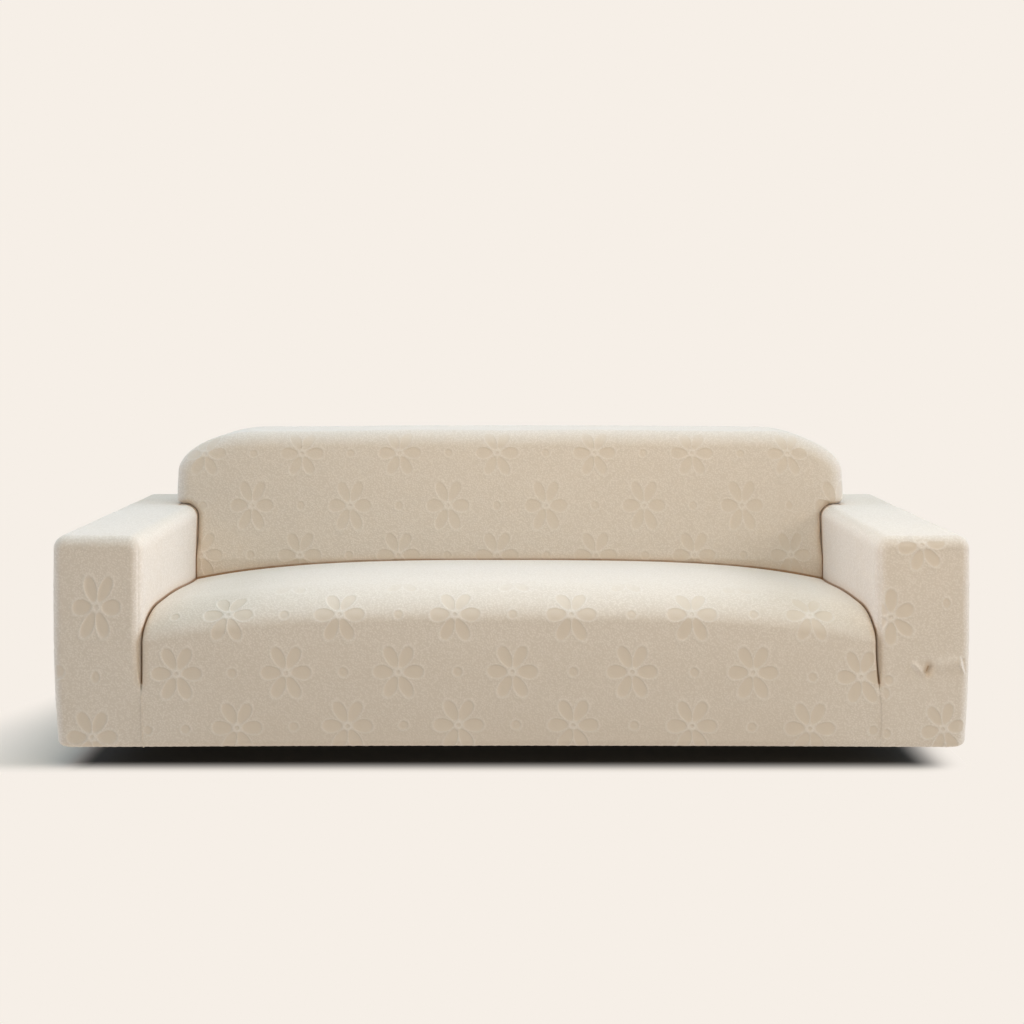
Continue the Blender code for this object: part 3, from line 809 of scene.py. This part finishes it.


# Painted shade beside the seat: how far it is put off on the flat front, where and over what rise it comes
# in above the groove's foot, and how far behind the seat it ends
FLAT_OFF = 0.03
GROOVE_SHADE_START = 0.009
GROOVE_SHADE_RISE = 0.018
BEHIND_SEAT = 0.05
# Painted shade behind the seat is fainter in the middle: how far it is put off, and where that fades out
MIDDLE_OFF = 0.0022
MIDDLE_FADE = (0.5, 0.85)
# Cloth behind the back's face counts as this share of its distance
BEHIND_FACE = 0.5


def fold_distance(points):
    """Distance to the nearest deep fold, which sets its painted shade: round the seat, and where the back
    meets the arms.
    """
    x, y, z = np.abs(points[:, 0]), points[:, 1], points[:, 2]
    face = each(back_front, z)
    to_face = np.maximum(face - y, (y - face) * BEHIND_FACE)
    come_in = np.clip((z - GROOVE_FOOT - GROOVE_SHADE_START) / GROOVE_SHADE_RISE, 0, 1)
    beside_seat = np.hypot(x - ARM_FACE, np.maximum(z - side_height(y), 0))
    beside_seat += FLAT_OFF * (1 - come_in) + NO_SHADE * (y > SEAT_DEPTH + BEHIND_SEAT)
    behind_seat = np.hypot(to_face, np.maximum(z - (each(seat_height, x) - SEAT_REAR_DROP), 0))
    behind_seat += np.maximum(x - ARM_FACE, 0)
    behind_seat += MIDDLE_OFF * (1 - soft_step(x, *MIDDLE_FADE))
    beside_back = np.hypot(to_face, np.maximum(each(arm_clearance, x, z), 0))
    beside_back += np.maximum(x - CHEEK + CHEEK_TUCK, 0)
    foot = CHEEK - BACK_TURN * (1 - soft_step(y, TURN_FADE_START, TURN_FADE_END))
    cheek = np.hypot(x - foot, z - ARM_HEIGHT) + np.maximum(face - y, 0)
    return np.minimum.reduce([beside_seat, behind_seat, beside_back, cheek])


# Warmer tone of the lower apron: shares with the heights where each fades out, and where it fades sideways
HEM_TONES = ((0.40, 0.18, 0.30), (0.60, 0.0, 0.13))
HEM_TONE_SIDES = (0.66, 0.88)


def hem_tone(name, points):
    """How much darker and warmer the apron's cloth is towards its hem, from 0 to 1."""
    if name != "seat_apron":
        return np.zeros(len(points))
    x, y, z = np.abs(points[:, 0]), points[:, 1], points[:, 2]
    tone = sum(share * (1 - soft_step(z, low, high)) for share, low, high in HEM_TONES)
    return tone * (1 - soft_step(x, *HEM_TONE_SIDES)) * (y < ROLL_DEPTH)


# Slow unevenness: its height, its scale, and where in the noise it starts
UNEVEN_HEIGHT = 0.0016
UNEVEN_SCALE = 5.0
UNEVEN_START = (0, 0, 3.7)


def unevenness(points):
    """Slow unevenness of taut cloth over padding, in metres."""
    places = points + np.array(UNEVEN_START)
    return np.array([noise.noise(Vector(p) * UNEVEN_SCALE) for p in places]) * UNEVEN_HEIGHT


# Roll of cloth into grooves and rear seams: its depth and width, the rise over which it comes in above the
# groove's foot, its reach past the arm's face, how deep the front goes, and its lowest height behind that
ROLL_IN = 0.0008
ROLL_IN_WIDTH = 0.003
ROLL_IN_RISE = 0.03
ROLL_IN_PAST = 0.012
ROLL_IN_FRONT = 0.03
ROLL_IN_FOOT = 0.05


def roll_in(points, seam):
    """How far the cloth rolls into the grooves beside the seat and into the rear seams, in metres."""
    x, y, z = np.abs(points[:, 0]), points[:, 1], points[:, 2]
    in_groove = soft_step(z, GROOVE_FOOT, GROOVE_FOOT + ROLL_IN_RISE) * (x < ARM_FACE + ROLL_IN_PAST)
    is_sunk = np.where(y < ROLL_IN_FRONT, in_groove, z > ROLL_IN_FOOT)
    return ROLL_IN * is_sunk * bell(seam, 0, ROLL_IN_WIDTH)


# Gathers along the hem: height and reach up the cloth in metres, and waves in radians for each metre
GATHER_HEIGHT = 0.0004
GATHER_REACH = 0.016
GATHER_WAVES = 310
GATHER_DRIFT = 23
GATHER_DRIFT_SIZE = 2.2
GATHER_GROUPS = 71
SIDEWAYS = 0.7


def gathers(points, places, normals):
    """Height of the small gathers that the elastic makes along the hem, in metres."""
    around = np.where(np.abs(normals[:, 0]) > SIDEWAYS, places[:, 1], places[:, 0])
    drift = GATHER_DRIFT_SIZE * np.sin(around * GATHER_DRIFT)
    waves = np.sin(around * GATHER_WAVES + drift) * np.sin(around * GATHER_GROUPS + 1.0)
    return GATHER_HEIGHT * waves * bell(np.maximum(points[:, 2], 0), 0, GATHER_REACH)


# Points on the borders of patches are one where they agree at this many steps for each metre
WELD_STEPS = 1e5
# Distances from a panel's border at which relief and unevenness come in
RELIEF_INLAND = (0.002, 0.012)
UNEVEN_INLAND = (0.0, 0.05)


def weld(patches):
    """Points, cloth coordinates and faces of patches that share their borders."""
    points = []
    charts = []
    faces = []
    base = 0
    for grid, chart in patches:
        grid, chart = np.array(grid), np.array(chart)
        count = grid.shape[0] * grid.shape[1]
        index = base + np.arange(count).reshape(grid.shape[:2])
        corners = [index[:-1, :-1], index[:-1, 1:], index[1:, 1:], index[1:, :-1]]
        faces.append(np.stack(corners, -1).reshape(-1, 4))
        points.append(grid.reshape(-1, 3))
        charts.append(chart.reshape(-1, 2))
        base += count
    points, charts, faces = np.concatenate(points), np.concatenate(charts), np.concatenate(faces)
    steps = np.round(points * WELD_STEPS).astype(np.int64)
    _, first, inverse = np.unique(steps, axis=0, return_index=True, return_inverse=True)
    return points[first], charts[first], inverse.reshape(-1)[faces]


def outward_mesh(name, places, faces, facing):
    """A mesh of the faces with their normals out of the cover, and each point's distance to its border."""
    clean = []
    for face in faces.tolist():
        face = [v for k, v in enumerate(face) if v != face[k - 1]]
        if len(face) > 2:
            clean.append(face)
    mesh = bpy.data.meshes.new(name)
    mesh.from_pydata(places.tolist(), [], clean)
    work = bmesh.new()
    work.from_mesh(mesh)
    bmesh.ops.recalc_face_normals(work, faces=work.faces)
    axis, way = facing
    if way * sum(face.normal[axis] * face.calc_area() for face in work.faces) < 0:
        bmesh.ops.reverse_faces(work, faces=work.faces)
    border = [tuple(v.co) for v in work.verts if v.is_boundary]
    work.to_mesh(mesh)
    work.free()
    tree = kdtree.KDTree(len(border))
    for k, place in enumerate(border):
        tree.insert(place, k)
    tree.balance()
    return mesh, np.array([tree.find(p)[2] for p in places])


def write_uv(mesh, chart, motifs):
    """Two layers: the cloth's own coordinates, and those seen from the motif nearest to each face."""
    vertex = np.zeros(len(mesh.loops), np.int32)
    mesh.loops.foreach_get("vertex_index", vertex)
    sizes = np.zeros(len(mesh.polygons), np.int32)
    mesh.polygons.foreach_get("loop_total", sizes)
    face_of = np.repeat(np.arange(len(sizes)), sizes)
    centre = np.zeros((len(sizes), 2))
    np.add.at(centre, face_of, chart[vertex])
    centre /= sizes[:, None]
    u, v, kind = local(chart[vertex], nearest_motifs(centre, motifs)[face_of])
    for label, values in (("cloth", chart[vertex]), ("motif", np.stack([u + kind, v], 1))):
        layer = mesh.uv_layers.new(name=label)
        layer.data.foreach_set("uv", values.astype(np.float32).ravel())


def add_object(name, data):
    made = bpy.data.objects.new(name, data)
    bpy.context.scene.collection.objects.link(made)
    return made


def make_panel(name, patches, motifs, facing, strength):
    points, chart, faces = weld(patches)
    places = settled(points) - np.array([0, ORIGIN_DEPTH, ORIGIN_HEIGHT])
    mesh, seam = outward_mesh(name, places, faces, facing)
    normals = np.zeros(len(places) * 3, np.float32)
    mesh.vertex_normals.foreach_get("vector", normals)
    normals = normals.reshape(-1, 3)

    motifs = np.array(motifs)
    inland = soft_step(seam, *RELIEF_INLAND)
    start, change, axis, span = strength
    amount = start + change * soft_step(np.abs(points[:, axis]), *span)
    puckers, pits = creases(name, chart)
    height = relief(*local(chart, nearest_motifs(chart, motifs))) * amount * inland
    height += puckers * inland
    height += unevenness(points) * soft_step(seam, *UNEVEN_INLAND)
    height -= roll_in(points, seam)
    height += gathers(points, places, normals)
    places = places + normals * height[:, None]
    mesh.vertices.foreach_set("co", places.astype(np.float32).ravel())

    write_uv(mesh, chart, motifs)
    attributes = {
        "relief": amount * inland,
        # Distance that sets the painted shade of folds and deep puckers
        "fold_shade": np.minimum(fold_distance(points), pits),
        "hem_tone": hem_tone(name, points),
    }
    for label, values in attributes.items():
        attribute = mesh.attributes.new(label, "FLOAT", "POINT")
        attribute.data.foreach_set("value", values.astype(np.float32))
    mesh.shade_smooth()
    mesh.update()
    mesh.materials.append(CLOTH_MATERIAL)
    panel = add_object("cloth_" + name, mesh)
    edge = panel.modifiers.new("edge", "SOLIDIFY")
    edge.thickness = CLOTH
    edge.offset = -1
    edge.use_rim_only = True
    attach(panel, "root")
    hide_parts(name)


# Material

# Colours: the ground between pebbles, on them and in warm patches, petals, paler raised rims that are
# partly painted highlight, the apron near its hem, the painted warm shade around a fold and the painted
# dark shade in it
GROUND_DARK = (0.672, 0.600, 0.508)
GROUND_LIGHT = (0.768, 0.702, 0.615)
GROUND_WARM = (0.73, 0.655, 0.56)
PETAL_COLOUR = (0.688, 0.600, 0.488)
# Paler rims: partly the cloth's own, partly painted highlight
RIM_AND_HIGHLIGHT_COLOUR = (0.80, 0.745, 0.665)
HEM_COLOUR = (0.63, 0.545, 0.44)
# Painted shade: warm around a fold, dark in it
FOLD_WARM_SHADE = (0.64, 0.51, 0.37)
FOLD_SHADE_COLOUR = (0.30, 0.15, 0.05)

# How far the motifs' lines wander, in metres, and the grain that leads them
WANDER = 0.004
WANDER_SHIFT = (3.1, 1.7, 0)
# Knitted pebbles: where one ends, and how they bend
PEBBLE_EDGE = (0.05, 0.70)
PEBBLE_BEND = 0.004
# Roughness, more on the ribs and less on the pebbles
ROUGHNESS = 0.88
RIB_ROUGHNESS = 0.04
PEBBLE_SMOOTHNESS = 0.06
# Heights of the bump, in metres
PEBBLE_BUMP = 0.00023
RIB_BUMP = 0.00008
SUNKEN_BUMP = 0.0006
RAISED_BUMP = 0.0003
# Sockets of the Mix node that carry colours
MIX_INPUTS = (6, 7)
MIX_OUTPUT = 2


class Sum:
    """A value in a node tree that takes part in arithmetic."""

    def __init__(self, tree, socket):
        self.tree = tree
        self.socket = socket

    def node(self, operation, *values):
        made = self.tree.nodes.new("ShaderNodeMath")
        made.operation = operation
        for slot, value in zip(made.inputs, (self, *values)):
            if isinstance(value, Sum):
                self.tree.links.new(value.socket, slot)
            else:
                slot.default_value = value
        return Sum(self.tree, made.outputs[0])

    def __add__(self, other):
        return self.node("ADD", other)

    def __sub__(self, other):
        return self.node("SUBTRACT", other)

    def __rsub__(self, other):
        return self.node("MULTIPLY", -1.0).node("ADD", other)

    def __mul__(self, other):
        return self.node("MULTIPLY", other)

    def __truediv__(self, other):
        return self.node("DIVIDE", other)

    def clipped(self, low, high):
        """0 below low, 1 above high, smooth between."""
        made = self.tree.nodes.new("ShaderNodeMapRange")
        made.interpolation_type = "SMOOTHSTEP"
        self.tree.links.new(self.socket, made.inputs["Value"])
        made.inputs["From Min"].default_value = low
        made.inputs["From Max"].default_value = high
        return Sum(self.tree, made.outputs["Result"])

    def bell(self, centre, width):
        """A soft band around a value."""
        far = (self - centre) / width
        return (far * far * -1.0).node("EXPONENT")

    def mix(self, first, second):
        """A colour between two, each a tuple or a socket: this value is the share of the second."""
        made = self.tree.nodes.new("ShaderNodeMix")
        made.data_type = "RGBA"
        self.tree.links.new(self.socket, made.inputs["Factor"])
        for slot, value in zip(MIX_INPUTS, (first, second)):
            if isinstance(value, tuple):
                made.inputs[slot].default_value = (*value, 1)
            else:
                self.tree.links.new(value, made.inputs[slot])
        return made.outputs[MIX_OUTPUT]


def new_material(name):
    """A material, its node tree and its shader."""
    material = bpy.data.materials.new(name)
    material.use_nodes = True
    tree = material.node_tree
    return material, tree, tree.nodes["Principled BSDF"]


def new_node(tree, kind, vector, **values):
    """A node that reads a vector, with values for the inputs of these names."""
    made = tree.nodes.new(kind)
    tree.links.new(vector, made.inputs[0])
    for label, value in values.items():
        made.inputs[label].default_value = value
    return made


def drawn_motifs(tree, cloth, motif):
    """The motifs' sunken parts, their raised rims and the flowers' hearts, each about 0 to 1."""

    def wander(vector):
        made = new_node(tree, "ShaderNodeTexNoise", vector, Scale=24.0, Detail=1.0, Roughness=0.5)
        return (Sum(tree, made.outputs["Fac"]) - 0.5) * WANDER

    split = new_node(tree, "ShaderNodeSeparateXYZ", motif)
    shifted = new_node(tree, "ShaderNodeVectorMath", cloth)
    shifted.operation = "ADD"
    shifted.inputs[1].default_value = WANDER_SHIFT
    raw_u = Sum(tree, split.outputs["X"])
    is_dot = raw_u.node("GREATER_THAN", 0.5)
    is_flower = 1.0 - is_dot
    u = raw_u - is_dot + wander(cloth)
    v = Sum(tree, split.outputs["Y"]) + wander(shifted.outputs[0])
    radius = (u * u + v * v).node("SQRT")
    u, v = u.node("ABSOLUTE"), v.node("ABSOLUTE")
    edges = []
    for turn, reach, length, width in PETALS:
        along = (u * cos(turn) + v * sin(turn) - reach) / length
        bulge = along.node("MAXIMUM", -1.0).node("MINIMUM", 1.0) * PETAL_TAPER + 1.0
        across = (v * cos(turn) - u * sin(turn)) / (bulge * width)
        edges.append(((along * along + across * across).node("SQRT") - 1.0) * width)
    edge = edges[0].node("MINIMUM", edges[1])

    petal = (1.0 - edge.clipped(low=-0.0018, high=0.0012)) * is_flower
    rim = edge.bell(centre=0.0024, width=0.0017) * is_flower
    heart_pit = radius.bell(centre=0.0, width=0.0036) * 0.8
    heart = (radius.bell(HEART_RADIUS, width=0.0022) * 1.3 - heart_pit) * is_flower
    dot = (1.0 - radius.clipped(DOT_RADIUS - 0.003, DOT_RADIUS + 0.001)) * is_dot
    dot = dot * (1.0 - radius.bell(centre=0.0, width=0.0050) * 0.55)
    dot_rim = radius.bell(DOT_RIM, width=0.0022) * is_dot
    return petal + dot, rim + heart * 1.7 + dot_rim, heart


def make_cloth_material():
    material, tree, shader = new_material("stretch_cloth")

    def uv(layer):
        made = tree.nodes.new("ShaderNodeUVMap")
        made.uv_map = layer
        return made.outputs["UV"]

    def attribute(label):
        made = tree.nodes.new("ShaderNodeAttribute")
        made.attribute_name = label
        return Sum(tree, made.outputs["Fac"])

    def grain(**values):
        return Sum(tree, new_node(tree, "ShaderNodeTexNoise", cloth, **values).outputs["Fac"])

    cloth = uv("cloth")
    amount = attribute("relief")
    sunken, raised, heart = drawn_motifs(tree, cloth, uv("motif"))
    sunken = (sunken * amount).node("MINIMUM", 1.0)
    raised = (raised * amount).node("MINIMUM", 1.0)

    bent = new_node(tree, "ShaderNodeVectorMath", cloth)
    bent.operation = "SCALE"
    bend = grain(Scale=260.0, Detail=1.0, Roughness=0.5) * PEBBLE_BEND + 1.0
    tree.links.new(bend.socket, bent.inputs["Scale"])
    cells = new_node(tree, "ShaderNodeTexVoronoi", bent.outputs[0], Scale=225.0)
    cells.feature = "SMOOTH_F1"
    cells.inputs["Smoothness"].default_value = 0.5
    pebbles = 1.0 - Sum(tree, cells.outputs["Distance"]).clipped(*PEBBLE_EDGE)
    pebbles = pebbles * (1.0 - sunken * 0.75)
    weave = new_node(tree, "ShaderNodeTexWave", cloth, Scale=190.0, Distortion=1.5, Detail=1.0)
    weave.bands_direction = "DIAGONAL"
    ribs = Sum(tree, weave.outputs["Fac"])
    slow = grain(Scale=9.0, Detail=3.0, Roughness=0.6)
    fold_shade = attribute("fold_shade")

    ground = pebbles.mix(GROUND_DARK, GROUND_LIGHT)
    # Each colour over the ones before it, by its share
    for share, colour in (
        (slow.clipped(0.3, 0.7) * 0.2, GROUND_WARM),
        (attribute("hem_tone") * 0.5, HEM_COLOUR),
        (sunken * 0.72, PETAL_COLOUR),
        # Paler raised rims and hearts, partly the cloth's own and partly painted highlight
        (raised * 0.30, RIM_AND_HIGHLIGHT_COLOUR),
        ((heart * amount * 0.35).node("MAXIMUM", 0.0), RIM_AND_HIGHLIGHT_COLOUR),
        # Painted shade: warm around folds and deep puckers, dark in them
        ((1.0 - fold_shade.clipped(low=0.0, high=0.026)) * 0.45, FOLD_WARM_SHADE),
        ((1.0 - fold_shade.clipped(low=0.0008, high=0.0050)) * 0.85, FOLD_SHADE_COLOUR),
    ):
        ground = share.mix(ground, colour)
    tree.links.new(ground, shader.inputs["Base Color"])

    rough = ribs * RIB_ROUGHNESS - pebbles * PEBBLE_SMOOTHNESS + ROUGHNESS
    tree.links.new(rough.socket, shader.inputs["Roughness"])
    shader.inputs["Specular IOR Level"].default_value = 0.25
    shader.inputs["Sheen Weight"].default_value = 0.20
    shader.inputs["Sheen Roughness"].default_value = 0.45

    height = pebbles * PEBBLE_BUMP + ribs * RIB_BUMP - sunken * SUNKEN_BUMP + raised * RAISED_BUMP
    bump = tree.nodes.new("ShaderNodeBump")
    bump.inputs["Distance"].default_value = 1.0
    bump.inputs["Strength"].default_value = 1.0
    tree.links.new(height.socket, bump.inputs["Height"])
    tree.links.new(bump.outputs["Normal"], shader.inputs["Normal"])
    return material


CLOTH_MATERIAL = make_cloth_material()

# Strength of a panel's relief: where it starts, by how much it changes, and along which axis and span
FULL_STRENGTH = (1.0, 0.0, 0, (0.0, 1.0))
SEAT_STRENGTH = (1.0, -0.92, 1, (0.03, 0.13))
BACK_STRENGTH = (0.65, -0.45, 2, (BACK_HEIGHT - 0.03, BACK_HEIGHT - 0.004))
WRAP_STRENGTH = (0.15, 0.85, 0, (HALF - 0.02, HALF - 0.004))
# The axis and the way that most of a panel faces
UP = (2, 1)
FORWARD = (1, -1)
BACKWARD = (1, 1)
ARMS = (("left", -1, LEFT_FRONT_MOTIFS), ("right", 1, RIGHT_FRONT_MOTIFS))

make_panel("seat_apron", seat_patches(), SEAT_MOTIFS, UP, SEAT_STRENGTH)
make_panel("inside_back", inside_back_patches(), BACK_MOTIFS, FORWARD, BACK_STRENGTH)
make_panel("outside_back", outside_back_patches(), REAR_MOTIFS, BACKWARD, FULL_STRENGTH)
for label, side, _ in ARMS:
    wrap = arm_wrap_patches(side)
    make_panel("arm_wrap_" + label, wrap, WRAP_MOTIFS, UP, WRAP_STRENGTH)
for label, side, motifs in ARMS:
    front = arm_front_patches(side)
    make_panel("arm_front_" + label, front, motifs, FORWARD, FULL_STRENGTH)


# Studio

FLOOR = -ORIGIN_HEIGHT - 0.054
FLOOR_COLOUR = (0.62, 0.575, 0.51)
# Painted shadow on the floor under the cover
UNDER_SHADOW_COLOUR = (0.11, 0.11, 0.10)
BACKDROP_COLOUR = (0.922, 0.863, 0.799)
# The floor's front and sides, the backdrop's bend and top, and the surround, in metres
FLOOR_FRONT = -9.0
FLOOR_SIDE = 12.0
BEND_START = 3.4
BEND_RADIUS = 1.6
BACKDROP_TOP = 9.0
SURROUND_RADIUS = 30.0
# The floor's painted shadow under the cover: how far inside its outline it is fully dark, and how far from
# the sides
UNDER_FADE = 0.055
UNDER_SIDE = 0.03
# The shadow gives way to the even glow past the cover's right side, left side, and front and rear: where it
# starts inside them and how fast it goes, slower in front of the left side
RIGHT_START = 0.13
RIGHT_RATE = 1.9
LEFT_RATE = 1.25
LEFT_FRONT_LOSS = 0.65
LEFT_FRONT_FADE = (-0.5, 0.2)
FRONT_START = 0.085
FRONT_RATE = 2.6
GLOW_FADE = (-0.01, 0.26)


def even_glow(tree):
    """The backdrop's colour, as light."""
    glow = tree.nodes.new("ShaderNodeEmission")
    glow.inputs["Color"].default_value = (*BACKDROP_COLOUR, 1)
    return glow.outputs[0]


def make_stage():
    """A pale floor that bends up into a backdrop, painted dark under the cover as its shadow. Away from the
    cover's shadow it glows evenly.
    """
    profile = [(FLOOR_FRONT, 0.0)]
    for a in even(0, QUARTER, steps=16):
        profile.append((BEND_START + BEND_RADIUS * sin(a), BEND_RADIUS * (1 - cos(a))))
    profile.append((BEND_START + BEND_RADIUS, BACKDROP_TOP))
    points = []
    faces = []
    for k, (y, z) in enumerate(profile):
        points += [(-FLOOR_SIDE, y, FLOOR + z), (FLOOR_SIDE, y, FLOOR + z)]
        if k:
            faces.append((2 * k - 2, 2 * k - 1, 2 * k + 1, 2 * k))
    mesh = bpy.data.meshes.new("studio_floor")
    mesh.from_pydata(points, [], faces)
    mesh.shade_smooth()
    material, tree, shader = new_material("studio_floor")
    shader.inputs["Roughness"].default_value = 0.9
    shader.inputs["Specular IOR Level"].default_value = 0.0
    place = tree.nodes.new("ShaderNodeNewGeometry")
    split = new_node(tree, "ShaderNodeSeparateXYZ", place.outputs["Position"])
    x, y = Sum(tree, split.outputs["X"]), Sum(tree, split.outputs["Y"])
    across = x.node("ABSOLUTE") - HALF
    along = (y + (ORIGIN_DEPTH - DEPTH / 2)).node("ABSOLUTE") - DEPTH / 2
    # Painted shadow: the floor is dark under the cover
    under_shadow = 1.0 - (across + UNDER_SIDE).node("MAXIMUM", along).clipped(-UNDER_FADE, 0.0)
    tree.links.new(under_shadow.mix(FLOOR_COLOUR, UNDER_SHADOW_COLOUR), shader.inputs["Base Color"])
    is_left = x.node("LESS_THAN", 0.0)
    near = 1.0 - y.clipped(*LEFT_FRONT_FADE)
    bright = (across + RIGHT_START).node("MAXIMUM", 0.0) * RIGHT_RATE
    shaded = across.node("MAXIMUM", 0.0) * (LEFT_RATE - near * LEFT_FRONT_LOSS)
    across = bright + is_left * (shaded - bright)
    along = (along + FRONT_START).node("MAXIMUM", 0.0) * FRONT_RATE
    away = (across * across + along * along).node("SQRT")
    blend = tree.nodes.new("ShaderNodeMixShader")
    tree.links.new(away.clipped(*GLOW_FADE).socket, blend.inputs[0])
    tree.links.new(shader.outputs[0], blend.inputs[1])
    tree.links.new(even_glow(tree), blend.inputs[2])
    tree.links.new(blend.outputs[0], tree.nodes["Material Output"].inputs["Surface"])
    mesh.materials.append(material)
    add_object("studio_floor", mesh)


make_stage()


def make_surround():
    """The backdrop's colour all round, for the eye alone: it lights nothing and shades nothing."""
    mesh = bpy.data.meshes.new("studio_surround")
    work = bmesh.new()
    bmesh.ops.create_uvsphere(work, u_segments=48, v_segments=24, radius=SURROUND_RADIUS)
    work.to_mesh(mesh)
    work.free()
    material, tree, _ = new_material("studio_surround")
    tree.links.new(even_glow(tree), tree.nodes["Material Output"].inputs["Surface"])
    mesh.materials.append(material)
    surround = add_object("studio_surround", mesh)
    for rays in ("diffuse", "glossy", "transmission", "shadow"):
        setattr(surround, "visible_" + rays, False)


make_surround()


def add_sky_light(name, factor, colour, spread, azimuth, elevation):
    """Even light from far off, at azimuth 0 from the rear. A factor of 1 lights a white face fully."""
    data = bpy.data.lights.new(name, "SUN")
    data.energy = pi * factor
    data.color = colour
    data.angle = radians(spread)
    light = add_object(name, data)
    light.rotation_euler = (radians(elevation - 90), 0, radians(-azimuth))


def add_softbox(name, watts, colour, place, target, size):
    """A rectangle of light at a place, turned to a target. Cameras don't see it."""
    data = bpy.data.lights.new(name, "AREA")
    data.shape = "RECTANGLE"
    data.size, data.size_y = size
    data.energy = watts
    data.color = colour
    light = add_object(name, data)
    light.location = place
    light.rotation_euler = (Vector(target) - Vector(place)).to_track_quat("-Z", "Y").to_euler()
    light.visible_camera = False


add_sky_light("overhead", 0.48, (0.56, 0.83, 1.0), spread=75, azimuth=180, elevation=85)
add_sky_light("side_right", 0.70, (0.73, 0.83, 1.0), spread=30, azimuth=88, elevation=22)
add_sky_light("side_left", 0.48, (0.78, 0.84, 1.0), spread=30, azimuth=-88, elevation=22)
add_softbox("front_top", 23.3, (1.0, 0.78, 0.56), (0.2, -1.55, 1.5), (0, -0.2, -0.35), size=(2.4, 0.5))
add_softbox("front_right", 13.5, (1.0, 0.82, 0.62), (2.4, -2.6, 0.6), (1.0, -0.7, -0.4), size=(0.8, 0.8))

world = bpy.data.worlds.new("studio_air")
world.use_nodes = True
air = world.node_tree.nodes["Background"]
air.inputs["Color"].default_value = (1.0, 0.80, 0.60, 1)
air.inputs["Strength"].default_value = 0.02
bpy.context.scene.world = world
bpy.context.scene.view_settings.view_transform = "Standard"
bpy.context.scene.view_settings.look = "None"

# The camera: level, before the front plane and above the hem, in metres, with its picture moved in pixels
CAMERA_DISTANCE = 3.215
CAMERA_HEIGHT = 1.021
PICTURE = 1024
PICTURE_RIGHT = 0.5
PICTURE_DOWN = 182

camera_data = bpy.data.cameras.new("camera")
camera_data.lens = 46.55
camera_data.sensor_width = 36
camera_data.shift_x = PICTURE_RIGHT / PICTURE
camera_data.shift_y = -PICTURE_DOWN / PICTURE
camera = add_object("camera", camera_data)
camera.location = (0, -CAMERA_DISTANCE - ORIGIN_DEPTH, CAMERA_HEIGHT - ORIGIN_HEIGHT)
camera.rotation_euler = (QUARTER, 0, 0)
bpy.context.scene.camera = camera
